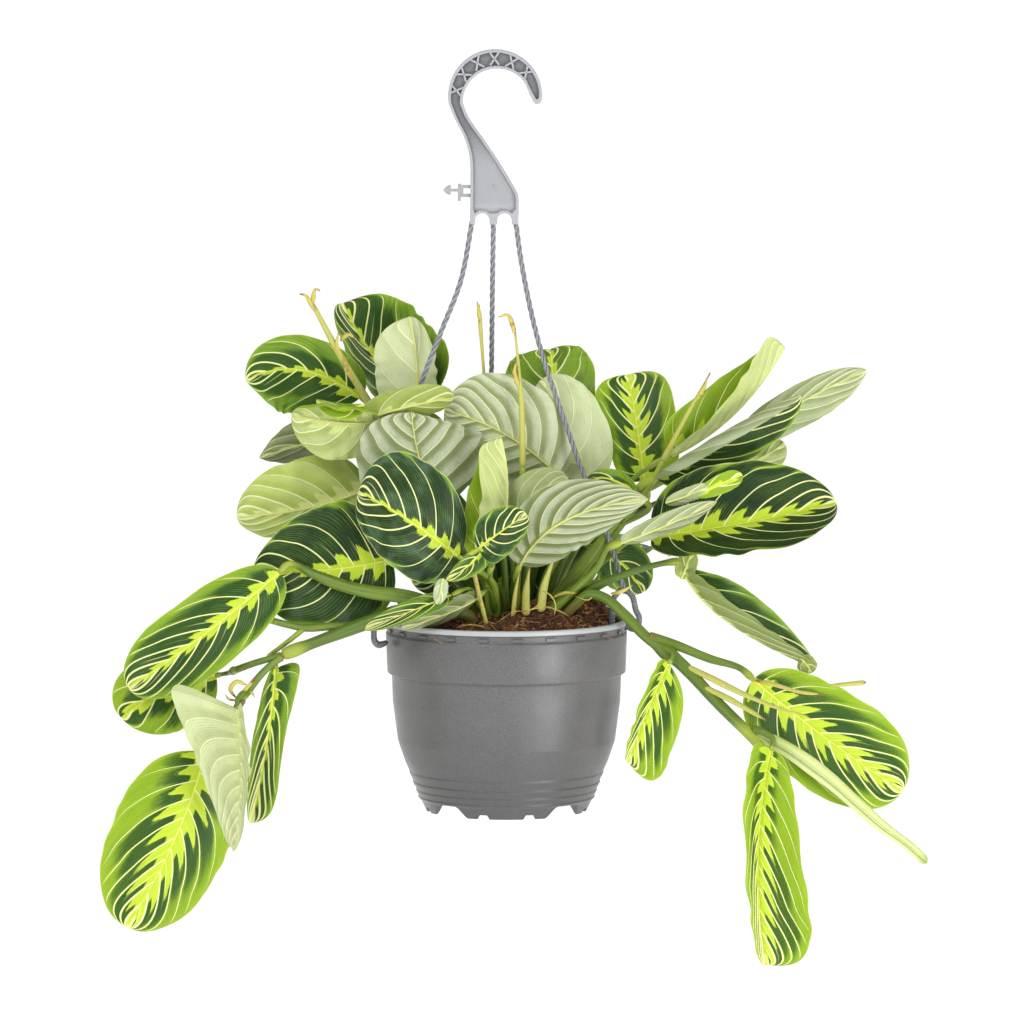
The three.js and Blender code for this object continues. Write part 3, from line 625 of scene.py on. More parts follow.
def upper_finish(tree, leaf):
    """Lime feather along the rib, dark between the veins, a green margin and pale veins."""
    blade = Blade(tree)
    v, comb = blade.v, blade.comb
    bulge = tree.smooth(0.0, 0.3, nearest_line(blade.count), -0.1, 0.05)
    outer = blade.dark * 0.78 + 0.2 + bulge + (comb - 0.5) * 0.4 + (blade.cloud - 0.5) * 0.25
    outer = outer + (blade.strip - 0.5) * (1.0 - blade.dark) * 0.9
    blotch = tree.smooth(outer + 0.12, outer - 0.1, v) * tree.smooth(0.0, 0.5, blade.dark, 0.4, 1.0)
    streak = tree.smooth(0.35, 0.7, comb)
    green = tree.blend(tree.smooth(0.2, 0.8, blade.lime), leaf.mid, leaf.margin)
    green = tree.blend(streak * 0.5, green, leaf.edge)
    green = tree.blend(tree.smooth(0.82, 1.0, v) * 0.5 * blade.cloud, green, leaf.edge)
    deep = tree.blend(tree.smooth(0.5, 1.0, blade.dark), leaf.deep, leaf.deepest)
    deep = tree.blend(streak * 0.25, deep, leaf.mid)
    # Painted sheen: cloudy patches of the dark blade turn grey-blue, as far as the leaf's haze tone goes.
    deep = tree.blend(tree.smooth(0.45, 0.75, blade.cloud) * blade.fade, deep, leaf.haze)
    base = tree.blend(blotch, green, deep)
    base = tree.blend(blade.fine * 0.3, base, leaf.margin)
    bright = tree.blend(tree.smooth(0.3, 0.7, comb), leaf.feather, leaf.lime)
    base = tree.blend(blade.feather(tree), base, bright)
    main, rib = blade.veins_and_rib(tree)
    half = blade.per_mm * 0.3
    short = tree.smooth(half, half * 0.3, nearest_line(blade.count + 0.47))
    short = short * tree.smooth(0.55, 0.6, blade.strip) * tree.smooth(0.5, 0.2, v)
    base = tree.blend(short * 0.6, base, leaf.vein)
    base = tree.blend(main * tree.smooth(1.0, 0.6, v, 0.65, 0.95), base, leaf.vein)
    base = tree.blend(rib * 0.9, base, leaf.rib)
    base = tree.blend(tree.smooth(0.978, 0.992, v) * 0.6, base, leaf.lip)
    return {
        "Base Color": base,
        "Roughness": tree.smooth(0.2, 0.8, blade.cloud, 0.34, 0.5) + comb * 0.06,
        "Specular IOR Level": 0.25,
        "Height": comb * 0.3 - main * 0.5 - rib * 0.8 - blade.fine * 0.15,
        "Relief": 0.25,
    }


def lower_finish(tree, leaf):
    """Silvery or yellow-green, light just past each vein and darker before the next, partly painted shading
    of the quilting, with fine dark lines.
    """
    blade = Blade(tree)
    v, comb = blade.v, blade.comb
    base = tree.blend(blade.cloud, leaf.silver, leaf.silver_shade)
    base = tree.blend(blade.yellow, base, tree.blend(blade.cloud, leaf.backlit, leaf.backlit_shade))
    base = tree.blend(blade.fade, base, leaf.pale)
    base = tree.blend(blade.grey * 0.9, base, leaf.olive)
    base = tree.blend(blade.grey - 1.0, base, leaf.pinstripe)
    # Light and dark bands between the veins: partly the underside's own colour, partly painted shading of the
    # quilted relief.
    light = tree.smooth(0.75, 0.25, blade.between + (comb - 0.5) * 0.3) * tree.smooth(0.0, 0.1, v)
    base = tree.blend((1.0 - light) * (blade.stripe * 0.5 + 0.04), base, leaf.olive)
    base = tree.blend(light * (blade.stripe * 0.3 + 0.05), base, leaf.frost)
    shows = blade.feather(tree, 0.02) * (blade.yellow * 0.45 + blade.lime * 0.12)
    base = tree.blend(shows, base, leaf.glow)
    dashes = tree.smooth(0.35, 0.6, tree.noise(tree.combine(blade.count * 16.0, v * 30.0, 2.0), 1.0, 1.0))
    base = tree.blend(blade.fine * dashes * (blade.stripe * 0.45 + 0.2), base, leaf.pinstripe)
    main, rib = blade.veins_and_rib(tree)
    base = tree.blend(main * (0.8 - blade.grey * 0.3), base, leaf.lower_vein)
    base = tree.blend(rib * 0.9, base, leaf.lower_rib)
    stain = tree.noise(tree.combine(blade.t * 5.0, blade.side * 4.0, blade.seed + 9.0), 2.0, 4.0)
    base = tree.blend(tree.smooth(0.64, 0.78, stain) * 0.45, base, leaf.stain)
    return {
        "Base Color": base,
        "Roughness": tree.smooth(0.2, 0.8, blade.cloud, 0.5, 0.64),
        "Height": main * 0.7 + rib + comb * 0.25 - blade.fine * 0.3,
        "Relief": 0.3,
    }


# ---- Blade shape ----
FLATTEST = 0.01
MERGE = 0.004 * MM
GROOVE_HALF = 1.6 * MM
KEEL_HALF = 1.5 * MM
KEEL = 0.9 * MM
BLADE_INPUTS = {
    "Vector": ("Base", "Middle", "Tip", "Face", "Right width", "Left width", "Tone", "Reverse"),
    "Float": (
        "Widest", "Fullness", "Point", "Right sweep", "Left sweep", "Right fold", "Right curl", "Left fold",
        "Left curl", "Thickness", "Veins", "Quilting", "Ripple", "Seed",
    ),
    "Int": ("Rows", "Columns"),
    "Material": ("Upper", "Lower"),
}


def blade_shape(tree, given):
    """A blade swept across its rib: folded, curled, quilted between its veins and closed at its margin."""
    grid = tree.get("GeometryNodeMeshGrid", 1.0, 2.0, given["Rows"], given["Columns"])
    x, u, _ = tree.split(tree.spot())
    t = (1.0 - cosine((x + 0.5) * math.pi)) * 0.5
    side = sign_of(u) * size_of(u) ** 1.2
    v, sign = size_of(side), sign_of(side)
    base, middle, tip = given["Base"], given["Middle"], given["Tip"]
    rib = through(t, base, middle, tip)
    slope = base * (t * 4.0 - 3.0) + middle * (4.0 - t * 8.0) + tip * (t * 4.0 - 1.0)
    tangent = tree.vector("NORMALIZE", slope)
    up = given["Face"] - tangent * tree.vector("DOT_PRODUCT", given["Face"], tangent)
    up = tree.vector("NORMALIZE", up)
    across = tree.vector("CROSS_PRODUCT", tangent, up)

    is_left = tree.math("LESS_THAN", side, 0.0)

    def here(label):
        """The right or the left half's own value."""
        return given["Right " + label] + (given["Left " + label] - given["Right " + label]) * is_left

    shifted = t ** (math.log(0.5) / tree.math("LOGARITHM", given["Widest"], math.e))
    inside = larger(1.0 - size_of(shifted * 2.0 - 1.0) ** given["Fullness"], 0.0)
    power = 1.0 / given["Fullness"] + given["Point"] * 0.5 * tree.smooth(0.5, 0.8, shifted)
    wander = tree.noise(tree.combine(t * 4.5, sign * 3.0, given["Seed"]), 1.0, 1.0) - 0.5
    width = inside ** power * (wander * 0.14 + 1.0) * through(t, *tree.split(here("width")))
    fold, curl = here("fold"), here("curl")
    curl = sign_of(curl + 1e-6) * larger(size_of(curl), FLATTEST)
    end = fold + curl * v
    out = width * (sine(end) - sine(fold)) / curl
    rise = width * (cosine(fold) - cosine(end)) / curl

    count = vein_count(t, side, given["Veins"])
    shoulder = tree.smooth(0.0, 0.12, v) * tree.smooth(1.0, 0.8, v)
    shoulder = shoulder * tree.smooth(0.0, 0.1, t) * tree.smooth(1.0, 0.93, t)
    quilt = tree.math("SQRT", nearest_line(count) * 2.0) * shoulder * given["Quilting"]
    groove = tree.smooth(GROOVE_HALF, 0.0, v * width) * given["Quilting"] * 0.9
    wave = tree.noise(tree.combine(t * 2.6, side * 1.2, given["Seed"]), 1.0, 1.0) - 0.5
    flutter = sine(t * 31.0 + given["Seed"] * 2.3 + sine(t * 9.0 + given["Seed"]) * 2.0)
    lift = (wave * 5.0 + flutter * v ** 3.0) * given["Ripple"] * (t * (1.0 - t) * 4.0) * v

    normal = up * cosine(end) - across * (sine(end) * sign)
    point = rib + across * (out * sign) + up * rise - tangent * (here("sweep") * width * v)
    point = point + normal * (quilt - groove + lift)
    taper = tree.smooth(0.0, 0.02, t) * tree.smooth(1.0, 0.98, t)
    body = given["Thickness"] * 0.5 * tree.smooth(1.0, 0.9, v) * taper
    keel = tree.smooth(KEEL_HALF, 0.0, v * width) * tree.smooth(1.05, 0.1, t) * KEEL

    stored = {
        "blade": tree.combine(t, side, width / MM),
        "make": tree.combine(given["Veins"], tree.vector("LENGTH", tip - base) / MM, given["Seed"]),
        "tone": given["Tone"],
        "reverse": given["Reverse"],
    }
    sheet = grid
    for name, value in stored.items():
        sheet = tree.store(sheet, name, value, "FLOAT_VECTOR")
    upper = tree.get("GeometryNodeSetPosition", sheet, None, point + normal * body)
    upper = tree.get("GeometryNodeFlipFaces", upper)
    upper = tree.get("GeometryNodeSetMaterial", upper, None, given["Upper"])
    lower = tree.get("GeometryNodeSetPosition", sheet, None, point - normal * (body + keel))
    lower = tree.get("GeometryNodeSetMaterial", lower, None, given["Lower"])
    closed = tree.get("GeometryNodeMergeByDistance", tree.join(lower, upper), None, MERGE)
    return tree.get("GeometryNodeRealizeInstances", closed)


# ---- Rods: stems, stalks, strands and clips ----
def smooth_curve(points, steps=16):
    """Closely spaced points on a smooth curve through these ones (a centripetal Catmull-Rom curve)."""
    ends = [points[0] * 2 - points[1], *points, points[-1] * 2 - points[-2]]
    curve = []
    for a, b, c, d in zip(ends, ends[1:], ends[2:], ends[3:]):
        knot = [0.0]
        for p, q in ((a, b), (b, c), (c, d)):
            knot.append(knot[-1] + max((q - p).length, 1e-9) ** 0.5)

        def between(p, q, first, last, t):
            return p.lerp(q, (t - knot[first]) / (knot[last] - knot[first]))

        for i in range(steps):
            t = knot[1] + (knot[2] - knot[1]) * i / steps
            ab, bc, cd = between(a, b, 0, 1, t), between(b, c, 1, 2, t), between(c, d, 2, 3, t)
            curve.append(between(between(ab, bc, 0, 2, t), between(bc, cd, 1, 3, t), 1, 2, t))
    return [*curve, points[-1]]


def profile(stops, share):
    """The value at a share of the way along a list of (share, value) stops, which ends at 1."""
    (a, low), (b, high) = next(pair for pair in zip(stops, stops[1:]) if share <= pair[1][0])
    s = (share - a) / (b - a)
    return low + (high - low) * s * s * (3 - 2 * s)


ROUND_END = ((0.0, 0.03), (0.07, 0.37), (0.25, 0.66), (0.6, 0.92))
NEAR_CAP = 0.4


class Rod(NamedTuple):
    """A rod through points in metres, with its radius in millimetres at shares of its length, and a tint."""

    points: list
    radii: tuple
    tint: float = 0.0
    step: float = 1.5
    rounded: bool = True


def rod_lines(name, rods):
    """One mesh of chains of edges along the rods, with radii, shares of length and tints as attributes."""
    spots, edges, radii, shares, tints = [], [], [], [], []
    for rod in rods:
        curve = smooth_curve(rod.points)
        lengths = [0.0]
        for p, q in zip(curve, curve[1:]):
            lengths.append(lengths[-1] + (q - p).length / MM)
        total = lengths[-1]
        count = max(4, round(total / rod.step))
        marks = [total * i / count for i in range(count + 1)]
        caps = {}
        for inset, factor in ROUND_END if rod.rounded else ():
            caps[inset * profile(rod.radii, 0)] = factor
            caps[total - inset * profile(rod.radii, 1)] = factor
        marks = sorted({m for m in marks if not any(abs(m - c) < NEAR_CAP for c in caps)} | set(caps))
        k = 0
        for i, mark in enumerate(marks):
            while k < len(curve) - 2 and lengths[k + 1] < mark:
                k += 1
            share = (mark - lengths[k]) / max(lengths[k + 1] - lengths[k], 1e-9)
            spots.append(curve[k].lerp(curve[k + 1], share))
            radii.append(profile(rod.radii, mark / total) * caps.get(mark, 1.0))
            shares.append(mark / total)
            tints.append(rod.tint)
            if i:
                edges.append((len(spots) - 2, len(spots) - 1))
    mesh = bpy.data.meshes.new(name)
    mesh.from_pydata(spots, edges, [])
    for label, values in (("thickness", radii), ("along", shares), ("tint", tints)):
        mesh.attributes.new(label, "FLOAT", "POINT").data.foreach_set("value", values)
    return mesh


ROD_INPUTS = {"Int": ("Sides",), "Float": ("Flatness", "Overlap"), "Material": ("Finish",)}


def rod_shape(tree, given):
    """A closed rod swept along each chain of edges; Overlap gives the section a rolled leaf's lapped edge."""
    line = tree.get("GeometryNodeMeshToCurve", given["Geometry"])
    thickness = tree.get("GeometryNodeInputNamedAttribute", "thickness", data_type="FLOAT")
    turn = tree.get("GeometryNodeInputIndex") / given["Sides"]
    swell = turn * given["Overlap"] + 1.0
    section = tree.vector("MULTIPLY", tree.spot() * swell, tree.combine(1.0, 1.0 - given["Flatness"], 1.0))
    ring = tree.get("GeometryNodeSetPosition", tree.ring(given["Sides"], MM), None, section)
    rod = tree.sweep(line, tree.store(ring, "around", turn), thickness)
    return tree.finished(tree.get("GeometryNodeSetShadeSmooth", rod), given["Finish"])


PLY_SIDES = 10
STRAND_INPUTS = {"Int": ("Plies",), "Float": ("Ply radius", "Lay radius", "Pitch"), "Material": ("Finish",)}


def strand_shape(tree, given):
    """Plies laid round each other along a path, each a thin rod on its own helix that stores its core."""
    line = tree.get("GeometryNodeMeshToCurve", given["Geometry"])
    line = tree.store(line, "core", tree.spot(), "FLOAT_VECTOR")
    copies = tree.node("GeometryNodeDuplicateElements", line, None, given["Plies"], domain="SPLINE")
    length = tree.get("GeometryNodeSplineParameter", output="Length")
    turn = (length / given["Pitch"] + tree.wire(copies, "Duplicate Index") / given["Plies"]) * (2 * math.pi)
    normal, tangent = tree.get("GeometryNodeInputNormal"), tree.get("GeometryNodeInputTangent")
    side = tree.vector("CROSS_PRODUCT", tangent, normal)
    offset = (normal * cosine(turn) + side * sine(turn)) * given["Lay radius"]
    laid = tree.get("GeometryNodeSetPosition", tree.wire(copies), None, None, offset)
    rod = tree.sweep(laid, tree.ring(PLY_SIDES, given["Ply radius"]))
    return tree.finished(tree.get("GeometryNodeSetShadeSmooth", rod), given["Finish"])


# ---- Pot ----
POT_OUTSIDE = [
    (49.6, 0), (52.6, 6.4), (54.6, 8.4), (54.2, 9.4), (55.9, 12.6), (55.6, 13.6), (57.9, 17.6), (57.5, 18.6),
    (60, 23.6), (59.8, 24.6), (62.7, 31), (66.9, 43.4), (70.1, 68), (70.7, 84.6), (73.4, 85.8), (74.3, 110.2),
    (73.3, 111), (73.3, 114.8), (75, 115.4), (75, 118), (74.2, 118.5),
]
POT_INSIDE = [
    (72.2, 118.5), (71.5, 117.8), (71.2, 111), (68.6, 84), (67.9, 68), (64.8, 44.4), (60.6, 32), (52.2, 10.2),
    (50, 10), (0, 10),
]
POT_UNDER = [(0, 8), (46.4, 8), (47, 7.4), (48.2, 0)]
FOOT = {
    "wall": 8.4, "radius": 49, "arch": 13.4, "arch_top": 8.2, "high": 7.2, "notch": 13.5, "notch_half": 3.25,
    "notch_high": 2.7,
}
DRAIN = {"from_axis": 32, "count": 4, "height": 9, "depth": 8, "segments": 32}
LIP_RIBS = {"radius": 73.4, "height": 112.6, "turn": -0.05, "size": (1.7, 6.5, 1.8)}
POT_SEGMENTS = 240
WALL_ROUND = 0.7
UNDER_ROUND = 0.4
SHARP = 0.6
DOUBLE = 0.002 * MM


def from_axis(radius, degrees, z):
    """A point at a radius, a turn and a height from the pot's axis and foot."""
    turn = math.radians(degrees)
    return place(radius * math.cos(turn), radius * math.sin(turn), z)


def rounded(points, radius):
    """The profile with each corner between its ends turned into a small round."""
    made = [points[0]]
    for before, corner, after in zip(points, points[1:], points[2:]):
        b, c, a = (Vector(p) for p in (before, corner, after))
        start = c + (b - c).normalized() * min(radius, (b - c).length * 0.4)
        end = c + (a - c).normalized() * min(radius, (a - c).length * 0.4)
        made += [tuple(start), tuple((start + c * 2 + end) / 4), tuple(end)]
    return made + [points[-1]]


def foot_lift(turn):
    """How far the foot's edge is raised, by the arch in each corner and the notches between the arches."""

    def off(centre):
        return FOOT["radius"] * abs(math.sin((turn - centre + math.pi / 4) % (math.pi / 2) - math.pi / 4))

    share = (FOOT["arch"] - off(math.pi / 4)) / (FOOT["arch"] - FOOT["arch_top"])
    in_notch = abs(off(0.0) - FOOT["notch"]) < FOOT["notch_half"]
    return max(FOOT["high"] * min(max(share, 0.0), 1.0), FOOT["notch_high"] if in_notch else 0.0)


def raised(points, lift):
    """A wall's profile with everything below lift brought up to it along the wall."""
    made = []
    ordered = sorted(points, key=lambda p: p[1])
    for r, z in points:
        if z < lift:
            for (r0, z0), (r1, z1) in zip(ordered, ordered[1:]):
                if z0 <= lift <= z1 and z1 > z0:
                    r = r0 + (r1 - r0) * (lift - z0) / (z1 - z0)
                    break
            z = lift
        made.append((r, z))
    return made


def closed_mesh(name, shape, sharp=SHARP):
    """Merges a shape's doubles, turns its faces outwards and gives it smooth shading with sharp edges."""
    bmesh.ops.remove_doubles(shape, verts=shape.verts, dist=DOUBLE)
    bmesh.ops.dissolve_degenerate(shape, edges=shape.edges, dist=DOUBLE)
    bmesh.ops.recalc_face_normals(shape, faces=shape.faces)
    mesh = bpy.data.meshes.new(name)
    shape.to_mesh(mesh)
    shape.free()
    mesh.shade_smooth()
    mesh.set_sharp_from_angle(angle=sharp)
    return mesh


def pot_mesh():
    """The pot's body, turned about its axis, with its foot's edge raised in places."""
    outside = rounded(POT_OUTSIDE, WALL_ROUND)
    inside = rounded(POT_INSIDE, WALL_ROUND)
    under = rounded(POT_UNDER, UNDER_ROUND)
    foot = [p for p in outside if p[1] <= FOOT["wall"]]
    shape = bmesh.new()
    lines = []
    for i in range(POT_SEGMENTS):
        turn = 2 * math.pi * i / POT_SEGMENTS
        lift = foot_lift(turn)
        line = raised(under, lift) + raised(foot, lift) + outside[len(foot) :] + inside
        lines.append([shape.verts.new(place(r * math.cos(turn), r * math.sin(turn), z)) for r, z in line])
    for line, other in zip(lines, lines[1:] + lines[:1]):
        for k in range(len(line) - 1):
            shape.faces.new((line[k], other[k], other[k + 1], line[k + 1]))
    return closed_mesh("pot_body", shape)


def drained(mesh, radius):
    """The pot's body with its drain holes cut through the floor."""
    body = link("pot_body", mesh)
    drill = bmesh.new()
    for i in range(DRAIN["count"]):
        spot = from_axis(DRAIN["from_axis"], 45 + 360 * i / DRAIN["count"], DRAIN["height"])
        bmesh.ops.create_cone(
            drill, cap_ends=True, segments=DRAIN["segments"], radius1=radius, radius2=radius,
            depth=DRAIN["depth"] * MM, matrix=Matrix.Translation(spot),
        )
    cutter = link("drill", bpy.data.meshes.new("drill"))
    drill.to_mesh(cutter.data)
    drill.free()
    cut = body.modifiers.new("Drain holes", "BOOLEAN")
    cut.object = cutter
    cut.operation = "DIFFERENCE"
    cut.solver = "EXACT"
    settle(body)
    bpy.data.objects.remove(cutter)
    mesh = body.data
    bpy.data.objects.remove(body)
    return mesh


RIB_RING_INPUTS = {
    "Int": ("Count",),
    "Float": ("Radius", "Turn"),
    "Vector": ("Centre", "Size"),
    "Material": ("Finish",),
}


def rib_ring_shape(tree, given):
    """The source shape with a ring of small ribs on it."""
    ring = tree.get("GeometryNodeMeshCircle", named={"Vertices": given["Count"], "Radius": given["Radius"]})
    ring = tree.get("GeometryNodeTransform", ring, given["Centre"], tree.combine(z=given["Turn"]))
    cube = tree.get("GeometryNodeMeshCube", named={"Size": given["Size"]})
    share = tree.get("GeometryNodeInputIndex") / given["Count"]
    ribs = tree.put(ring, cube, tree.combine(z=share * (2 * math.pi) + given["Turn"]))
    return tree.finished(tree.join(ribs, given["Geometry"]), given["Finish"])


# ---- Potting mix ----
SOIL = {"radius": 66, "edge": 111, "dome": 9, "out": 70.6, "around": 180, "rings": 52, "sharp": 3.2}
# Each mound's X and Y, its width, its depth and its height.
MOUNDS = [(32, -6, 28, 26, 12), (60, -4, 15, 20, 11), (14, -30, 12, 12, 4)]
SOIL_SIDES = [(70.6, 109.6), (70.2, 104), (67.9, 84), (67.2, 68), (64.1, 44.6), (59.9, 32.2), (51.6, 10.5)]


def soil_height(x, y):
    """The mix's surface: a low mound, higher at the right and back."""
    r = math.hypot(x, y) / SOIL["radius"]
    mounds = 0
    for u, v, wide, deep, high in MOUNDS:
        mounds += high * math.exp(-(((x - u) / wide) ** 2) - ((y - v) / deep) ** 2)
    lump = 1.3 * math.sin(x * 0.21 + 1) * math.cos(y * 0.17)
    lump += 0.7 * math.sin(x * 0.55) * math.sin(y * 0.48 + 2)
    dome = (SOIL["dome"] + lump) * max(0.0, 1 - r**4)
    return SOIL["edge"] + dome + mounds * max(0.0, 1 - (0.92 * r) ** 10)


def soil_mesh():
    """The mix's body: its surface, its sides down the pot's wall and its flat bottom."""
    shape = bmesh.new()
    around = SOIL["around"]

    def ring(r, height):
        turns = [2 * math.pi * i / around for i in range(around)]
        spots = [(r * math.cos(turn), r * math.sin(turn)) for turn in turns]
        return [shape.verts.new(place(x, y, height(x, y))) for x, y in spots]

    rings = [ring(SOIL["out"] * (i / SOIL["rings"]), soil_height) for i in range(1, SOIL["rings"] + 1)]
    rings += [ring(r, lambda x, y: z) for r, z in SOIL_SIDES]
    top = shape.verts.new(place(0, 0, soil_height(0, 0)))
    bottom = shape.verts.new(place(0, 0, SOIL_SIDES[-1][1]))
    for i in range(around):
        j = (i + 1) % around
        shape.faces.new((top, rings[0][i], rings[0][j]))
        shape.faces.new((bottom, rings[-1][j], rings[-1][i]))
        for upper, lower in zip(rings, rings[1:]):
            shape.faces.new((upper[i], lower[i], lower[j], upper[j]))
    return closed_mesh("soil_body", shape, SOIL["sharp"])


ANY_TURN = ((-math.pi, -math.pi, -math.pi), (math.pi, math.pi, math.pi))
LYING = ((-0.6, -0.6, -math.pi), (0.6, 0.6, math.pi))
FLAT = ((-0.3, -0.3, -math.pi), (0.3, 0.3, math.pi))
STRETCH = ((0.45, 0.35, 0.35), (1.5, 1.3, 1.0))
SOIL_INPUTS = {
    "Float": (
        "Crumbs", "Crumb size", "Clods", "Clod size", "Fibres", "Fibre length", "Roots", "Root length",
        "Roughness", "Top",
    ),
    "Int": ("Seed",),
    "Material": ("Finish",),
}


def soil_shape(tree, given):
    """The mix's body made rough on top and strewn with crumbs, clods, coir fibres and loose roots."""

    def upward():
        """Whether the mix faces up here, above Top."""
        _, _, up = tree.split(tree.get("GeometryNodeInputNormal"))
        _, _, high = tree.split(tree.spot())
        return tree.math("GREATER_THAN", up, 0.5) * tree.math("GREATER_THAN", high, given["Top"])

    def any_of(kind, low, high, seed):
        """A value drawn at random for each copy."""
        made = tree.node("FunctionNodeRandomValue", data_type=kind)
        enabled = [s for s in made.inputs if s.enabled]
        for socket, value in zip(enabled, (low, high, None, seed)):
            tree.feed(socket, value)
        return tree.wire(made)

    def strewn(surface, thing, density, size, turns, offset, tan=False):
        """Copies of a thing over a surface, each with its own turn, size and tint."""
        seed = given["Seed"] + offset
        named = {"Mesh": surface, "Selection": upward(), "Density": density, "Seed": seed}
        points = tree.get("GeometryNodeDistributePointsOnFaces", named=named)
        turn = any_of("FLOAT_VECTOR", *turns, seed + 1.0)
        copies = tree.put(points, thing, turn, any_of("FLOAT_VECTOR", *STRETCH, seed + 2.0) * size)
        tint = any_of("FLOAT", 0.9 if tan else 0.0, 1.0, seed + 3.0)
        return tree.store(copies, "tint", tint, domain="INSTANCE")

    def thread(first, second, steps, radius):
        """A bent thread, from -1 to 1 along X."""
        ends = {"Start": (-1.0, 0.0, 0.0), "End": (1.0, 0.0, 0.0)}
        named = {"Resolution": steps, **ends, "Start Handle": first, "End Handle": second}
        line = tree.get("GeometryNodeCurvePrimitiveBezierSegment", named=named)
        return tree.sweep(line, tree.ring(3, radius))

    rough = tree.noise(tree.spot(), 160.0, 4.0, 0.65) - 0.5
    lumps = tree.noise(tree.spot(), 55.0, 2.0) - 0.5
    lift = tree.combine(z=(rough * 1.2 + lumps * 1.6) * given["Roughness"] * upward())
    body = tree.get("GeometryNodeSetPosition", given["Geometry"], None, None, lift)
    crumb = tree.get("GeometryNodeMeshIcoSphere", named={"Radius": 1.0, "Subdivisions": 1})
    fibre = thread((-0.4, 0.9, 0.5), (0.4, 0.7, 0.6), 5, 0.055)
    root = thread((0.6, 1.4, 0.5), (-0.6, -1.2, 0.7), 12, 0.03)
    crumbs = strewn(body, crumb, given["Crumbs"], given["Crumb size"], ANY_TURN, 1.0)
    clods = strewn(body, crumb, given["Clods"], given["Clod size"], ANY_TURN, 11.0)
    fibres = strewn(body, fibre, given["Fibres"], given["Fibre length"], LYING, 5.0)
    roots = strewn(body, root, given["Roots"], given["Root length"], FLAT, 17.0, True)
    return tree.finished(tree.join(body, crumbs, clods, fibres, roots), given["Finish"])


# ---- Hanger ----
HOOK = {
    "outer": 28.8, "inner": 21, "depth": 7, "web": 1.8, "flange": 1.8, "foot": 361.5, "pocket_foot": 371,
    "arch": 4.5, "overlap": 0.4, "pin": 2.6, "mark": 1.1,
}
BEVELS = {"flange": 0.55, "web": 0.1, "pin": 0.4, "mark": 0.2, "bar": 0.2}
CROSSES = {
    "count": 6, "centre": (-6.4, 438), "radius": 24.9, "first": 42, "apart": 25, "lean": 0.62, "length": 9.6,
    "thick": 1.2,
}
HOOK_OUT = (-6.9, 439.8)
HOOK_IN = (-5.8, 436)
NOSE = [(11.5, 447.6), (14.2, 441.4), (16.4, 437), (17.6, 435.5), (19.2, 435.2), (20.8, 436), (21.8, 438.4)]
NOSE_POCKET = [(12.9, 448.4), (15.6, 443.2), (17.8, 439.2), (18.8, 438.2), (19.8, 439.4)]
SHANK_LEFT = [(-35.4, 435.8), (-31.7, 426.5), (-25.5, 414.1), (-22.4, 401.8), (-22.1, 392.5), (-22.3, 361)]
SHANK_RIGHT = [
    (-26.8, 435.8), (-23.4, 427.2), (-13.6, 413), (-4, 398.7), (5.2, 383.2), (7.2, 378.9), (7.2, 361),
]
ARCHES = [(-14.8, 364), (-1.2, 364)]
EJECTOR = (-7.4, 384.5)
PIN = [
    (-21.6, 385.6), (-28, 385.6), (-28, 386.3), (-29.8, 386.3), (-29.8, 383.2), (-34.2, 383.2),
    (-34.2, 385.8), (-36.6, 384.8), (-38.4, 383), (-38.4, 381.9), (-36.6, 380.2), (-34.2, 379.4),
    (-34.2, 381.6), (-29.8, 381.6), (-29.8, 375.8), (-28, 375.8), (-28, 378.2), (-21.6, 378.2),
    (-21.6, 380.2), (-26.4, 380.2), (-26.4, 383.6), (-21.6, 383.6),
]


def arc(centre, radius, start, stop, count=40):
    """Points on an arc, from start to stop in degrees."""
    turns = [math.radians(start + (stop - start) * i / count) for i in range(count + 1)]
    return [(centre[0] + radius * math.cos(a), centre[1] + radius * math.sin(a)) for a in turns]


def eased(points, steps=5):
    """A smooth line through an outline's points."""
    return [(p.x, p.y) for p in smooth_curve([Vector((x, y, 0)) for x, y in points], steps)]


def hook_outline(inset):
    """The hook's outline, or its pocket's when inset; the foot has an arch between each two strands."""
    low = HOOK["pocket_foot"] if inset else HOOK["foot"]
    left = [(x + inset, z) for x, z in eased(SHANK_LEFT) if z > low]
    right = [(x - inset, z) for x, z in eased(SHANK_RIGHT) if z > low]
    outline = [*left, (left[-1][0], low)]
    for x, z in ARCHES:
        if inset:
            outline += arc((x, z), HOOK["arch"] + inset, 135, 45, 12)
        else:
            half = HOOK["arch"]
            outline += [(x - half, low), *arc((x, z), half, 180, 0, 16), (x + half, low)]
    outline += [(right[-1][0], low), *reversed(right)]
    outline += arc(HOOK_IN, HOOK["inner"] + inset, 179, 38 - inset * 2)
    outline += eased(NOSE_POCKET if inset else NOSE)
    return outline + arc(HOOK_OUT, HOOK["outer"] - inset, 4 + inset, 182)


def flat_plate(name, outlines, depth, bevel):
    """A plate filled between closed outlines, upright and centred on the hook's middle plane."""
    curve = bpy.data.curves.new(name, "CURVE")
    curve.dimensions = "2D"
    curve.fill_mode = "BOTH"
    curve.extrude = (depth / 2 - bevel) * MM
    curve.bevel_depth = bevel * MM
    curve.bevel_resolution = 2
    curve.offset = -bevel * MM
    for outline in outlines:
        spline = curve.splines.new("POLY")
        spline.points.add(len(outline) - 1)
        for point, (x, z) in zip(spline.points, outline):
            point.co = (x * MM, z * MM, 0, 1)
        spline.use_cyclic_u = True
    made = settle_curve(link(name, curve))
    made.transform(Matrix.Translation(POT_AXIS) @ Matrix.Rotation(math.pi / 2, 4, "X"))
    return made


def settle_curve(made):
    """The mesh of a curve object, which is removed."""
    bpy.context.view_layer.update()
    depsgraph = bpy.context.evaluated_depsgraph_get()
    mesh = bpy.data.meshes.new_from_object(made.evaluated_get(depsgraph), depsgraph=depsgraph)
    data = made.data
    bpy.data.objects.remove(made)
    bpy.data.curves.remove(data)
    return mesh


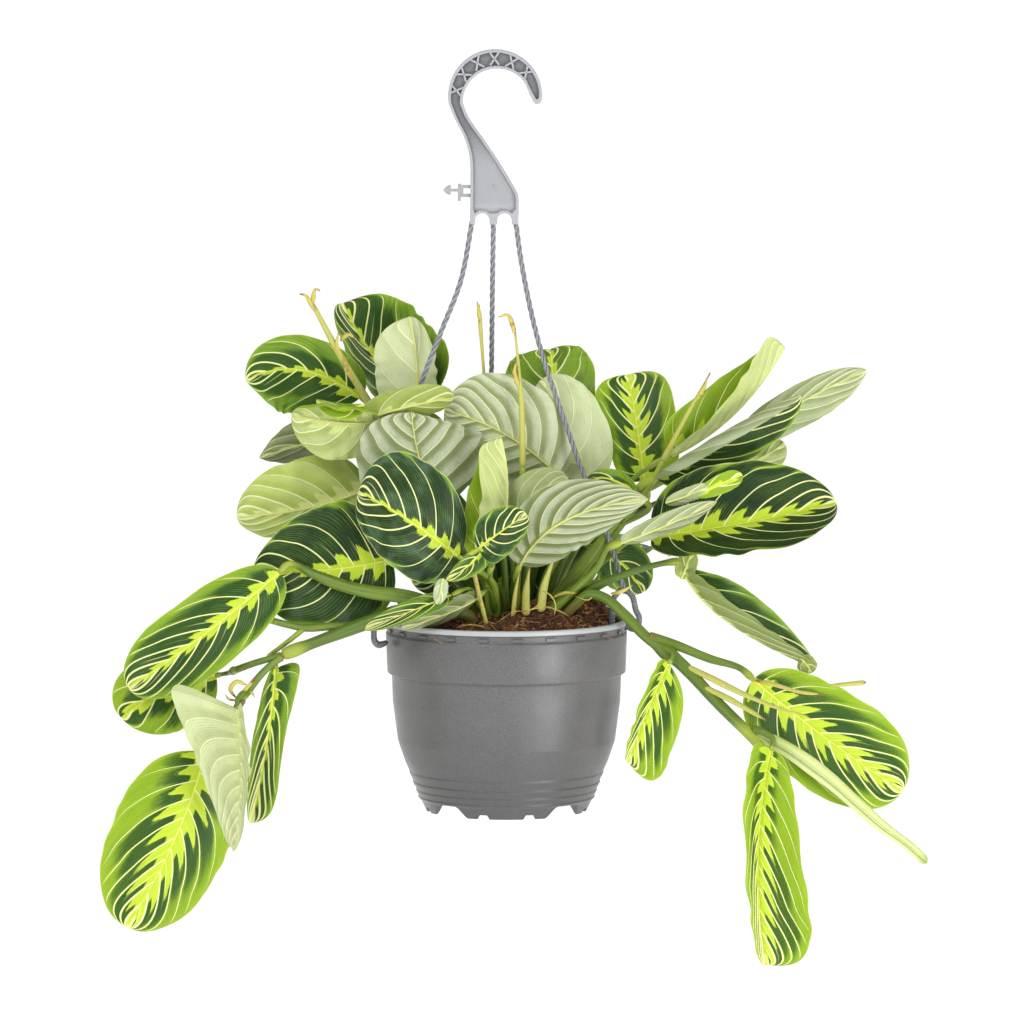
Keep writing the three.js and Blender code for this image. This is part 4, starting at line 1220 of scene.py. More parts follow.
def together(name, meshes):
    """Several meshes as one closed mesh."""
    shape = bmesh.new()
    for mesh in meshes:
        shape.from_mesh(mesh)
        bpy.data.meshes.remove(mesh)
    return closed_mesh(name, shape)


def bar(x, z, turn):
    """The outline of one bar of a cross in the hook's pocket."""
    along, up = CROSSES["length"] / 2, CROSSES["thick"] / 2
    c, s = math.cos(turn), math.sin(turn)
    corners = [(-along, -up), (along, -up), (along, up), (-along, up)]
    return [(x + a * c - b * s, z + a * s + b * c) for a, b in corners]


def hook_mesh():
    """The hook plate: a flange round a thin web, crossed bars in its arc, a side pin and a moulding mark."""
    edge = [hook_outline(0), hook_outline(HOOK["flange"])]
    parts = [
        flat_plate("hook_flange", edge, HOOK["depth"], BEVELS["flange"]),
        flat_plate("hook_web", [hook_outline(HOOK["flange"] - HOOK["overlap"])], HOOK["web"], BEVELS["web"]),
        flat_plate("hook_pin", [PIN], HOOK["pin"], BEVELS["pin"]),
        flat_plate("hook_mark", [arc(EJECTOR, HOOK["mark"], 0, 345, 23)], HOOK["web"] + 1, BEVELS["mark"]),
    ]
    for i in range(CROSSES["count"]):
        turn = CROSSES["first"] + i * CROSSES["apart"]
        x, z = arc(CROSSES["centre"], CROSSES["radius"], turn, turn, 1)[0]
        for lean in (-CROSSES["lean"], CROSSES["lean"]):
            outline = bar(x, z, math.radians(turn) + lean)
            parts.append(flat_plate("hook_bar", [outline], HOOK["depth"] - 1, BEVELS["bar"]))
    return together("hanger_hook", parts)


STRAND_ROUTES = {
    "left": [
        (-21, 0, 363.4), (-28, -3.4, 327), (-40, -6.6, 296), (-53, -10, 262), (-63, -15, 225),
        (-69.5, -20, 180),
    ],
    "right": [
        (5.6, 0, 363.4), (9.5, -2.6, 336), (19.8, -6.4, 289), (36.5, -11.6, 239), (48, -15.4, 207),
        (61.4, -19.4, 174),
    ],
    "back": [(-8, 0, 363.4), (-8.6, 10, 325), (-9.3, 31, 266), (-9.8, 50, 205)],
}
STRAND_STEP = 0.8
CLIP = {"leg_in": 68.4, "leg_out": 85, "crest": 138.5, "strand_end": 139.55}
CLIP_RADII = ((0, 1.6), (0.12, 1.8), (0.8, 1.8), (0.92, 2.2), (1, 1.5))
CLIP_FEET = {"left": 106, "right": 116, "back": 108}
CLIP_TURNS = {"left": 197, "right": 343, "back": 98}


def strand_path(side):
    """A strand's route in the frame, from the hook plate to the top of its clip."""
    return [*route(*STRAND_ROUTES[side]), from_axis(RIM, CLIP_TURNS[side], CLIP["strand_end"])]


def clip_rods(side):
    """A rim clip: a bow over the rim, whose outer leg turns in under it."""
    turn, foot = CLIP_TURNS[side], CLIP_FEET[side]
    near, far = CLIP["leg_in"], CLIP["leg_out"]
    bow = [
        (near, 113), (near - 1, 126), (70, 135), (RIM, CLIP["crest"]), (80.4, 135), (83, 126),
        (far, foot + 6), (far - 0.6, foot + 1), (82, foot - 1.2), (RIM + 1, foot + 0.4),
    ]
    return [Rod([from_axis(r, turn, z) for r, z in bow], CLIP_RADII)]


# ---- Stems and stalks ----
CROWN = {"x": 6, "z": 119, "sunk": 2, "spread": 0.72}
FLOWER_FOOT = 2.4
STALK = ((0, 2.8), (0.3, 2.4), (0.62, 1.6), (0.84, 1.3), (0.93, 1.9), (1, 1.4))
BROAD_STALK = ((0, 4.0), (0.35, 4.4), (0.65, 3.8), (0.8, 2.8), (0.9, 2.0), (0.96, 2.4), (1, 1.6))
HEAVY_STALK = ((0, 3.4), (0.5, 2.7), (0.85, 2.0), (0.94, 2.4), (1, 1.6))
BRACT = ((0, 1.0), (0.4, 1.5), (0.8, 0.8), (1, 0.3))
FLOWER_STALKS = {
    "left": {
        "rib": ((-84, 8, 250), (-101, -1, 279), (-120, -4, 315)),
        "radii": ((0, 2.4), (0.5, 2.1), (0.9, 1.5), (1, 0.9)),
        "tint": 0.1, "root": (-20, 10), "via": (-62, 10, 208),
    },
    "amber": {
        "rib": ((-10, 4, 200), (-13, 4, 256), (-17, 4, 312)),
        "radii": ((0, 1.3), (0.7, 0.95), (0.9, 1.3), (1, 0.5)),
        "tint": 0.4, "root": (-2, 6), "via": None,
    },
    "lime": {
        "rib": ((10, -22, 214), (9, -22, 257), (5, -20, 300)),
        "radii": ((0, 2.0), (0.45, 1.7), (0.65, 1.0), (1, 0.6)),
        "tint": 0.0, "root": (4, -8), "via": (9, -19, 176),
    },
    "right": {
        "rib": ((96, -13, 217), (110, -12, 244), (125, -9, 271)),
        "radii": ((0, 2.0), (0.5, 1.3), (1, 0.5)),
        "tint": 0.15, "root": (26, -10), "via": (74, -16, 182),
    },
}
BRACTS = {
    "left": [
        ((-118, -5, 309), (-123, -6, 318), (-127, -5, 319)),
        ((-119, -4, 312), (-117, -6, 322), (-114, -7, 321)),
        ((-99, -1, 276), (-104, -4, 287), (-103, -6, 296)),
        ((-94, 1, 265), (-99, -4, 275), (-97, -6, 281)),
        ((-102, -1, 290), (-97, -4, 294), (-93, -6, 292)),
    ],
    "amber": [((-16, 4, 300), (-17, 3, 308), (-18, 2, 314))],
    "lime": [((5, -20, 296), (1, -20, 307), (-5, -21, 306)), ((8, -22, 262), (5, -24, 272), (6, -25, 279))],
    "right": [((116, -11, 254), (121, -12, 262), (123, -11, 268))],
}


def stalk_rod(rib, starts, radii, tint, reach=12.0):
    """A stalk from its starts to the base of a rib, meeting the rib in its own line."""
    base, middle, tip = (Vector(p) for p in rib)
    aim = (middle * 4 - base * 3 - tip).normalized()
    reach = min(reach, (base - starts[-1]).length * 0.35)
    return Rod(route(*starts, base - aim * reach, base + aim * 0.6), radii, tint)


def crown_start(root, base, via):
    """A stalk's first points: its root in the crown, and via or a point part of the way to its blade."""
    x = CROWN["x"] + (root[0] - CROWN["x"]) * CROWN["spread"]
    y = root[1] * CROWN["spread"]
    u, v, w = base
    lift = (x + (u - x) * 0.25, y + (v - y) * 0.3, CROWN["z"] + (w - CROWN["z"]) * 0.5)
    return [Vector((x, y, CROWN["z"] - CROWN["sunk"])), Vector(via or lift)]


def crown_rods():
    """The stalks of the leaves and the feet of the flower stalks."""
    chance = random.Random(4)
    rods = []
    for leaf in LEAVES.values():
        if leaf.root:
            starts = crown_start(leaf.root, leaf.rib[0], leaf.via)
            radii = tuple((share, radius * leaf.stalk) for share, radius in STALK)
            rods.append(stalk_rod(leaf.rib, starts, radii, chance.random(), leaf.reach))
    for stalk in FLOWER_STALKS.values():
        starts = crown_start(stalk["root"], stalk["rib"][0], stalk["via"])
        radii = ((0, FLOWER_FOOT), (0.5, 2.0), (1, stalk["radii"][0][1]))
        rods.append(stalk_rod(stalk["rib"], starts, radii, chance.random()))
    return rods


def flower_rods(name):
    """A dried flower stalk and its papery bracts."""
    stalk = FLOWER_STALKS[name]
    rods = [Rod(route(*stalk["rib"]), stalk["radii"], stalk["tint"])]
    return rods + [Rod(route(*bract), BRACT, 0.95, 1.0) for bract in BRACTS[name]]


def ground(x, y, lift):
    """A point above or below the mix's surface."""
    return (x, y, soil_height(x, y) + lift)


LEFT_STEM = [
    ground(-20, -33, 1), (-25, -36, 125), (-45, -42, 128), (-64, -46, 128), (-85, -48, 121), (-110, -52, 112),
    (-137, -56, 102),
]
RIGHT_STEM = [
    ground(36, -28, -1), (41, -31, 129), (50, -35, 137), (60, -37, 135), (72, -38, 125), (85, -41, 112),
    (106, -46, 96), (130, -50, 71), (156, -54, 46),
]
ROLLED_LEAF = [
    (152, -53, 54), (171, -55, 44), (196, -56, 26), (212, -56, 12), (229, -56, -3), (245, -55, -15),
    (257, -54, -26),
]
ROLLED_RADII = ((0, 3.4), (0.1, 5.2), (0.3, 6.2), (0.6, 5.0), (0.85, 3.9), (0.93, 4.0), (0.97, 3.6), (1, 2.6))
ROOT = ((0, 0.3), (0.3, 0.6), (0.8, 0.5), (1, 0.25))
FLAKE = ((0, 0.8), (0.4, 1.8), (0.8, 1.4), (1, 0.4))
DRY_BITS = {
    "dry_bits_left": [
        (((-164, -62, 76), (-168, -64, 82), (-164, -66, 87), (-158, -66, 85)), FLAKE, 1.0),
        (((-163, -62, 77), (-158, -66, 83), (-153, -66, 89)), FLAKE, 1.0),
        (((-164, -62, 75), (-169, -63, 76), (-171, -64, 79)), ((0, 0.8), (0.6, 1.1), (1, 0.3)), 1.0),
        (((-160, -62, 80), (-155, -64, 80), (-153, -65, 77)), ((0, 0.8), (0.6, 1.3), (1, 0.3)), 0.8),
    ],
    "dry_bits_right": [
        (
            ((148, -52, 87), (163, -64, 85), (178, -68, 81), (193, -66, 79)),
            ((0, 1.2), (0.3, 2.0), (0.8, 1.5), (1, 0.5)), 0.75,
        ),
        (
            ((196, -60, 84), (207, -62, 85), (219, -61, 86)),
            ((0, 1.0), (0.4, 2.1), (0.9, 2.4), (1, 1.4)), 0.15,
        ),
        (
            ((108, -46, 95), (124, -53, 88), (146, -61, 78), (168, -66, 70), (184, -66, 66)),
            ((0, 2.6), (0.3, 3.0), (0.7, 1.8), (1, 0.5)), 0.15,
        ),
        (((118, -48, 83), (138, -57, 74), (158, -64, 63)), ((0, 2.4), (0.4, 2.8), (0.8, 2.0), (1, 0.6)), 0.1),
    ],
    "dry_bits_crown": [
        (((21, -34, 126), (23, -36, 142), (29, -37, 160)), ((0, 3.2), (0.4, 3.0), (0.8, 1.6), (1, 0.4)), 0.0),
        (((12, -36, 124), (12, -38, 138), (14, -38, 154)), ((0, 2.6), (0.4, 2.4), (1, 0.5)), 0.1),
        (((4, -35, 122), (5, -37, 135), (8, -38, 152)), ((0, 1.6), (0.4, 1.5), (1, 0.4)), 0.5),
        (((-12, -48, 120), (-16, -52, 136), (-20, -56, 154)), ((0, 1.5), (0.5, 1.6), (1, 1.7)), 0.55),
        (((27, -28, 134), (36, -34, 138), (43, -38, 138)), ((0, 1.0), (0.5, 1.6), (1, 0.5)), 0.7),
        (((64, -40, 138), (70, -46, 140), (77, -47, 144)), ((0, 1.2), (0.5, 2.0), (1, 0.6)), 0.6),
    ],
    "loose_roots": [
        (((-5, -52, 122), (4, -52, 128), (14, -50, 129), (20, -49, 133), (21, -48, 141)), ROOT, 0.9),
        (((14, -50, 129), (24, -50, 131), (33, -49, 128), (38, -48, 125)), ROOT, 1.0),
        (((21, -48, 141), (27, -50, 138), (30, -52, 132), (29, -53, 126)), ROOT, 0.8),
        (((42, -36, 136), (50, -38, 134), (56, -36, 139), (64, -34, 133)), ROOT, 0.9),
        (((-30, -56, 119), (-22, -58, 121), (-12, -57, 119)), ROOT, 1.0),
    ],
}


def trailing(name, *starts, radii=STALK):
    """The stalk of a leaf on a trailing stem."""
    return stalk_rod(LEAVES[name].rib, [Vector(s) for s in starts], radii, 0.4)


LEFT_RODS = (
    (LEFT_STEM, ((0, 4), (0.3, 4.6), (0.6, 4.2), (0.85, 3.4), (0.93, 4.2), (1, 3.6)), 0.2),
    (((-136, -56, 102), (-148, -58, 92), (-161, -64, 76)), ((0, 2.9), (0.2, 2.1), (1, 2.5)), 0.5),
    (((-136, -56, 102), (-152, -50, 97), (-168, -38, 90)), ((0, 2.8), (0.2, 2.0), (1, 2.2)), 0.5),
    (
        ((-88, -46, 119), (-106, -49, 119), (-122, -50, 118), (-134, -48, 120), (-147, -44, 123)),
        ((0, 2.6), (1, 2.1)), 0.45,
    ),
    (((-123, -50, 118), (-133, -51, 110), (-146, -47, 100)), ((0, 1.7), (1, 1.3)), 1.0),
)
BROAD_ROUTE = [(-30, -38, 126), (-60, -50, 137), (-82, -51, 140), (-100, -49, 144), (-116, -46, 150)]
RIGHT_RADII = ((0, 3.0), (0.3, 3.3), (0.44, 3.2), (0.5, 5.0), (0.56, 3.9), (0.7, 3.6), (0.9, 3.5), (1, 3.9))


def left_stem_rods():
    """The left stem, its branches and its leaves' stalks."""
    return [
        *(Rod(route(*points), radii, tint) for points, radii, tint in LEFT_RODS),
        trailing("trail_left_2", (-166, -39, 91)),
        trailing("trail_left_3", (-157, -62, 81)),
        trailing("trail_left_4", (-160, -63, 77), (-172, -58, 58)),
        trailing("trail_left_5", (-140, -56, 100)),
        trailing("trail_left_1", *BROAD_ROUTE, radii=BROAD_STALK),
    ]


def right_stem_rods():
    """The right stem and its leaves' stalks."""
    return [
        Rod(route(*RIGHT_STEM), RIGHT_RADII, 0.3),
        trailing("trail_right_1", (86, -41, 112), (104, -43, 106.5), (124, -43.5, 98.5), radii=HEAVY_STALK),
        trailing("trail_right_2", (150, -53, 57)),
        trailing("trail_right_3", (92, -42, 106)),
    ]


# ---- Settings ----
def shade(name, description, code):
    """A colour setting, with its default as a code such as "#5a3a22"."""
    default = colour(code)[:3]
    return bpy.props.FloatVectorProperty(
        name=name, description=description, default=default, size=3, min=0.0, max=1.0, subtype="COLOR"
    )


def measure(name, description, millimetres):
    """A length setting, with its default in millimetres."""
    return bpy.props.FloatProperty(
        name=name, description=description, default=millimetres * MM, min=0.0, precision=5, unit="LENGTH",
        subtype="DISTANCE",
    )


def amount(name, description, default, high):
    """A whole number setting."""
    return bpy.props.IntProperty(name=name, description=description, default=default, min=1, max=high)


def light(name, description, default, unit="NONE"):
    """A setting for how much light there is, in watts for a lamp."""
    return bpy.props.FloatProperty(name=name, description=description, default=default, min=0.0, unit=unit)


class LeafColours(bpy.types.PropertyGroup):
    deep: shade("Deep green", "Blade between the veins", "#25490f")
    deepest: shade("Deepest green", "Blade between the veins on the darkest leaves", "#10260f")
    # Painted sheen: the haze colour stands for the grey-blue shine on the dark blade.
    haze: shade("Haze", "Grey bloom where the blade shines", "#46624f")
    mid: shade("Mid green", "Margin of the dark leaves", "#47762a")
    margin: shade("Margin", "Margin of the light leaves", "#7ea018")
    edge: shade("Streaks", "Light streaks in the margin", "#a6c22e")
    lime: shade("Lime", "Brightest part of the feather", "#c6d836")
    feather: shade("Feather", "Greener part of the feather", "#aecd32")
    vein: shade("Veins", "Main veins on the upper side", "#ecf0a4")
    rib: shade("Rib", "Rib on the upper side", "#dde45e")
    lip: shade("Lip", "Thin pale line at the blade's edge", "#c9d48a")
    silver: shade("Silver", "Underside", "#c9d3b4")
    silver_shade: shade("Silver shade", "Duller parts of the underside", "#a0b07e")
    backlit: shade("Yellow green", "Underside of the thin leaves", "#b6c840")
    backlit_shade: shade("Yellow green shade", "Duller parts of a thin leaf's underside", "#8aa02c")
    pale: shade("Pale", "Underside of the palest leaves", "#e3ebb0")
    # Olive and frost also give the bands between the veins, partly painted shading of the quilted relief.
    olive: shade("Olive", "Dark stripes of the underside", "#6f7d45")
    frost: shade("Frost", "Light stripes of the underside", "#e2e6d0")
    glow: shade("Glow", "Feather seen from below", "#e0e88f")
    pinstripe: shade("Pinstripe", "Fine dark lines of the underside", "#5a6a3c")
    lower_vein: shade("Lower veins", "Main veins on the underside", "#eceeb8")
    lower_rib: shade("Lower rib", "Rib on the underside", "#d9df80")
    stain: shade("Stain", "Brown marks on the underside", "#9c8a3a")


class LeafSizes(bpy.types.PropertyGroup):
    thickness: measure("Thickness", "How thick a blade is", 0.5)
    quilting: measure("Quilting", "How far a blade rises between its veins", 0.55)
    ripple: measure("Ripple", "How far a blade's margin waves", 1.1)
    rows: amount("Rows", "Points along a blade", 71, 201)
    columns: amount("Columns", "Points across a blade", 41, 101)


class StemColours(bpy.types.PropertyGroup):
    green: shade("Green", "Stems and stalks", "#48661a")
    young: shade("Young green", "Young stems and stalks", "#8fa635")
    streak: shade("Streaks", "Dark streaks on stems", "#2a4212")
    collar: shade("Collar", "Swollen top of a leaf stalk", "#b3c044")
    sheath: shade("Sheath", "Papery brown on old sheaths", "#9a7a45")
    foot: shade("Foot", "Foot of a leaf stalk", "#8a5a36")
    rolled: shade("Rolled leaf", "Young leaf that is still rolled", "#f4f8c2")
    rolled_shade: shade("Rolled leaf streaks", "Streaks on the rolled leaf", "#c6d866")
    straw: shade("Straw", "Dried stalks and bracts", "#d0b85c")
    straw_green: shade("Green straw", "Stalks that are half dried", "#b4be60")
    rust: shade("Rust", "Dead tips of dried stalks", "#8f4f28")


class PotSettings(bpy.types.PropertyGroup):
    grey: shade("Grey", "The pot's plastic", "#525153")
    speck: shade("Specks", "Light specks in the plastic", "#686766")
    # Painted shade: this colour darkens the pot towards its feet.
    grime: shade("Grime", "Dirt that darkens the pot's foot", "#2b2a2b")
    scuff: shade("Scuffs", "Pale rubbed places", "#72716f")
    # Painted highlight: this colour makes the top of the rim pale where the light catches it.
    lip: shade("Lip", "Rubbed edge of the rim", "#b6b9bb")
    ribs: amount("Ribs", "Small ribs under the lip", 22, 200)
    hole: measure("Drain hole", "Radius of a drain hole", 4)


class MixSettings(bpy.types.PropertyGroup):
    # Painted shade: the dark colour stands for the shaded gaps between the crumbs.
    dark: shade("Dark", "Gaps between the crumbs", "#24130a")
    crumb: shade("Crumb", "Wet crumbs", "#744829")
    light: shade("Light crumb", "Dry crumbs", "#a87347")
    coir: shade("Coir", "Fibres and roots", "#c9a06c")
    crumb_size: measure("Crumb size", "Radius of a crumb", 1.2)
    clod_size: measure("Clod size", "Radius of a clod", 2.4)
    fibre: measure("Fibre length", "Half the length of a fibre", 3.2)
    root: measure("Root length", "Half the length of a loose root", 9)


class HangerSettings(bpy.types.PropertyGroup):
    grey: shade("Grey", "The hanger's plastic", "#a0a2a6")
    light: shade("Light", "Specks and rubbed edges", "#b9bbbf")
    # Painted shade: this colour darkens the hook's web and pockets and the grooves between a strand's plies.
    recess: shade("Recess", "Grime in the pockets and between the plies", "#3c3f45")
    strand: shade("Strand", "The strands' plastic", "#787b82")
    clip: shade("Clip", "The rim clips", "#484b53")
    ply: measure("Ply radius", "Radius of one ply of a strand", 0.86)
    lay: measure("Lay radius", "How far the plies lie from a strand's core", 0.8)
    pitch: measure("Pitch", "Length of one full turn of the plies", 17)
    plies: amount("Plies", "Plies in a strand", 3, 6)


class StageSettings(bpy.types.PropertyGroup):
    floor: shade("Floor", "The floor", "#c6c6c4")
    key: light("Key", "Main lamp", 36, "POWER")
    fill: light("Fill", "Lamp on the shadow side", 8, "POWER")
    back: light("Back", "Lamp behind the plant", 12, "POWER")
    low: light("Low", "Low lamp that the pot's wall reflects", 6.5, "POWER")
    sky: light("Sky", "Strength of the even light", 0.45)
    glow: light("Floor glow", "Light that the floor gives back", 0.78)


class PrayerPlantSettings(bpy.types.PropertyGroup):
    leaf_colours: bpy.props.PointerProperty(type=LeafColours)
    leaf_sizes: bpy.props.PointerProperty(type=LeafSizes)
    stem: bpy.props.PointerProperty(type=StemColours)
    pot: bpy.props.PointerProperty(type=PotSettings)
    mix: bpy.props.PointerProperty(type=MixSettings)
    hanger: bpy.props.PointerProperty(type=HangerSettings)
    stage: bpy.props.PointerProperty(type=StageSettings)


# ---- Finishes ----
def rod_values(tree):
    """Where a point is along a rod and round it, and the rod's tint, all from 0 to 1."""
    return [tree.attribute(name) for name in ("along", "around", "tint")]


def stem_finish(tree, shades):
    """Streaky green, with a swollen pale top, a brown foot and remains of papery sheaths."""
    along, around, tint = rod_values(tree)
    streak = tree.noise(tree.combine(around * 14.0, along * 3.0, tint * 9.0), 1.0, 3.0, 0.6)
    mottle = tree.noise(tree.place(), 240.0, 3.0)
    green = tree.blend(tint, shades.green, shades.young)
    green = tree.blend(tree.smooth(0.35, 0.75, streak) * 0.6, green, shades.streak)
    base = tree.blend(tree.smooth(0.84, 0.93, along) * 0.6, green, shades.collar)
    base = tree.blend(tree.smooth(0.62, 0.8, mottle) * 0.4, base, shades.sheath)
    base = tree.blend(tree.smooth(0.12, 0.0, along) * 0.6, base, shades.foot)
    roughness = tree.smooth(0.3, 0.7, mottle, 0.38, 0.55)
    return {"Base Color": base, "Roughness": roughness, "Height": streak, "Relief": 0.3}


def rolled_finish(tree, shades):
    """Pale with fine streaks along it, greener at its foot, its tip and its lapped edge."""
    along, around, _ = rod_values(tree)
    streak = tree.noise(tree.combine(around * 22.0, along * 1.6, 3.0), 1.0, 3.0, 0.6)
    base = tree.blend(streak, shades.rolled, shades.rolled_shade)
    base = tree.blend(tree.smooth(0.3, 0.0, along) * 0.7, base, shades.young)
    base = tree.blend(tree.smooth(0.1, 0.0, nearest_line(around)) * 0.7, base, shades.green)
    base = tree.blend(tree.smooth(0.93, 1.0, along) * 0.7, base, shades.young)
    return {"Base Color": base, "Roughness": 0.45, "Height": streak, "Relief": 0.4}


def dry_finish(tree, shades, roughness):
    """Dried stalk: tint 0 is green straw, 1 is papery brown; its far end is rusty."""
    along, around, tint = rod_values(tree)
    streak = tree.noise(tree.combine(around * 9.0, along * 6.0, tint * 5.0), 1.0, 3.0)
    blotch = tree.noise(tree.place(), 160.0, 2.0)
    base = tree.blend(tree.smooth(0.3, 0.7, streak) * 0.5 + tint * 0.5, shades.straw_green, shades.straw)
    base = tree.blend(tree.smooth(0.55, 0.7, blotch) * tint, base, shades.rust)
    base = tree.blend(tree.smooth(0.88, 1.0, along) * 0.8, base, shades.rust)
    return {"Base Color": base, "Roughness": roughness, "Height": streak, "Relief": 0.3}


def mix_finish(tree, shades):
    """Dark gaps of painted shade, brown crumbs and pale coir, by each crumb's own tint."""
    tint = tree.attribute("tint")
    fine = tree.noise(tree.place(), 900.0, 4.0, 0.7)
    broad = tree.noise(tree.place(), 120.0, 3.0)
    # Painted shade: fine dark patches for the shaded gaps between the crumbs.
    base = tree.blend(tree.smooth(0.3, 0.7, fine), shades.dark, shades.crumb)
    base = tree.blend(tree.smooth(0.35, 0.9, tint) * 0.8, base, shades.light)
    base = tree.blend(tree.smooth(0.88, 0.97, tint), base, shades.coir)
    base = tree.blend(tree.smooth(0.6, 0.35, broad) * 0.35, base, shades.dark)
    return {"Base Color": base, "Roughness": 0.9, "Height": fine, "Relief": 0.8}


def above(tree, low, high):
    """A share that rises from 0 to 1 between two heights over the pot's feet, in millimetres."""
    _, _, z = tree.split(tree.place())
    return tree.smooth(place(0, 0, low).z, place(0, 0, high).z, z)


def pot_finish(tree, shades):
    """Recycled grey plastic: specks, scuffs and scratches, painted shade darkening the foot and a painted
    highlight on the lip.
    """
    spot = tree.place()
    speck = tree.noise(spot, 1500.0, 2.0, 0.7)
    cloud = tree.noise(spot, 40.0, 3.0)
    scratch = tree.noise(spot * Vector((90.0, 90.0, 900.0)), 1.0, 2.0, 0.6)
    base = tree.blend(tree.smooth(0.3, 0.7, speck), shades.grey, shades.speck)
    base = tree.blend(tree.smooth(0.4, 0.8, cloud) * 0.2, base, shades.scuff)
    base = tree.blend(tree.smooth(0.62, 0.8, scratch) * 0.25, base, shades.scuff)
    # Painted shade: darker towards the feet, from 80 mm down.
    base = tree.blend(above(tree, 80, 0) * 0.4, base, shades.grime)
    # Painted highlight on the top of the lip, above 115.1 mm.
    base = tree.blend(above(tree, 115.1, 115.7) * 0.85, base, shades.lip)
    roughness = tree.smooth(0.3, 0.7, cloud, 0.3, 0.41)
    return {"Base Color": base, "Roughness": roughness, "Height": speck, "Relief": 0.08}


def hanger_finish(tree, shades, main, laid=False):
    """The hanger's plastic, with painted shade on the hook's web, in its pockets and between laid plies."""
    spot = tree.place()
    _, y, _ = tree.split(spot)
    speck = tree.noise(spot, 1200.0, 2.0, 0.7)
    cloud = tree.noise(spot, 60.0, 3.0)
    base = tree.blend(tree.smooth(0.3, 0.7, speck) * 0.45, main, shades.light)
    base = tree.blend(tree.smooth(0.4, 0.8, cloud) * 0.3, base, main)
    # Painted shade on the hook's web above its foot, darkest up in the arch.
    in_web = tree.smooth(2.6 * MM, 1.4 * MM, size_of(y - POT_AXIS.y))
    painted_recess_mask = in_web * above(tree, 372, 376) * (above(tree, 395, 425) * 0.5 + 0.15)
    base = tree.blend(painted_recess_mask, base, shades.recess)
    if laid:
        # Painted shade in the grooves between the plies, darkest near the strand's core.
        off = tree.vector("LENGTH", spot - tree.attribute("core", "Vector"))
        base = tree.blend(tree.smooth(1.45 * MM, 0.9 * MM, off) * 0.9, base, shades.recess)
    roughness = tree.smooth(0.3, 0.7, cloud, 0.36, 0.48)
    return {"Base Color": base, "Roughness": roughness, "Height": speck, "Relief": 0.08}


# ---- Makers ----
SOFT_SHARP = 1.2
ROLL_SHARP = 0.9
# How many of each are strewn on a square metre of the mix, and the height in millimetres they lie above.
STREWN = {"crumbs": 260000.0, "clods": 30000.0, "fibres": 75000.0, "roots": 6000.0, "top": 108, "seed": 3}
# The stage, in metres: the floor, each lamp's place and size, and the point that the lamps aim at.
FLOOR = {"radius": 60, "height": -0.78, "segments": 96, "roughness": 0.9}
LAMPS = {
    "key": ((-1.2, -2.0, 1.3), 1.2),
    "fill": ((1.6, -1.8, 0.3), 1.4),
    "back": ((0.4, 1.8, 1.4), 1.2),
    "low": ((0.9, -1.0, -0.58), 0.4),
}
LAMP_AIM = Vector((0, 0, -0.27))
# The camera's aim in the pot's millimetres, and in metres how far away it is and how wide it sees there.
CAMERA = {"aim": (3.4, 0, 184.3), "away": 5, "degrees": 5.5, "sensor": 36, "field": 0.6298, "clip": 200}
# The half width from which a blade is quilted and rippled in full.
FULL_BLADE = 28
WHITE = (1, 1, 1, 1)


def make_rods(name, rods, finish, sides=12, flatness=0.0, overlap=0.0, sharp=SOFT_SHARP):
    """The object of some rods."""
    tree = bpy.data.node_groups.get("Rod") or geometry_tree("Rod", ROD_INPUTS, rod_shape)
    lines = rod_lines(name, rods)
    made = grow(name, tree, lines, sides=sides, flatness=flatness, overlap=overlap, finish=finish)
    made.data.set_sharp_from_angle(angle=sharp)
    return made


class PRAYER_PLANT_OT_stage(bpy.types.Operator):
    """Sets up the floor, the lamps and the camera"""

    bl_idname = "prayer_plant.stage"
    bl_label = "Stage"

    def execute(self, context):
        scene = context.scene
        settings = scene.prayer_plant.stage
        shape = bmesh.new()
        level = Matrix.Translation((0, 0, FLOOR["height"]))
        bmesh.ops.create_circle(
            shape, cap_ends=True, segments=FLOOR["segments"], radius=FLOOR["radius"], matrix=level
        )
        mesh = bpy.data.meshes.new("floor")
        shape.to_mesh(mesh)
        shape.free()
        floor = link("floor", mesh)
        pale = bpy.data.materials.new("Pale floor")
        pale.use_nodes = True
        shader = pale.node_tree.nodes["Principled BSDF"]
        shader.inputs["Base Color"].default_value = (*settings.floor, 1)
        shader.inputs["Roughness"].default_value = FLOOR["roughness"]
        shader.inputs["Emission Color"].default_value = WHITE
        shader.inputs["Emission Strength"].default_value = settings.glow
        mesh.materials.append(pale)

        world = bpy.data.worlds.new("Studio")
        world.use_nodes = True
        sky = world.node_tree.nodes["Background"]
        sky.inputs["Color"].default_value = WHITE
        sky.inputs["Strength"].default_value = settings.sky
        scene.world = world
        for name, (spot, size) in LAMPS.items():
            lamp = bpy.data.lights.new(name, "AREA")
            lamp.shape = "SQUARE"
            lamp.size = size
            lamp.energy = getattr(settings, name)
            made = link(name, lamp)
            made.location = spot
            made.rotation_euler = (LAMP_AIM - made.location).to_track_quat("-Z", "Y").to_euler()

        scene.view_settings.view_transform = "Standard"
        camera = bpy.data.cameras.new("camera")
        camera.sensor_width = CAMERA["sensor"]
        camera.lens = CAMERA["sensor"] * CAMERA["away"] / CAMERA["field"]
        camera.clip_end = CAMERA["clip"]
        made = link("camera", camera)
        aim, lean = place(*CAMERA["aim"]), math.radians(CAMERA["degrees"])
        made.location = aim + Vector((0, -math.cos(lean), math.sin(lean))) * CAMERA["away"]
        made.rotation_euler = (aim - made.location).to_track_quat("-Z", "Y").to_euler()
        scene.camera = made
        return {"FINISHED"}


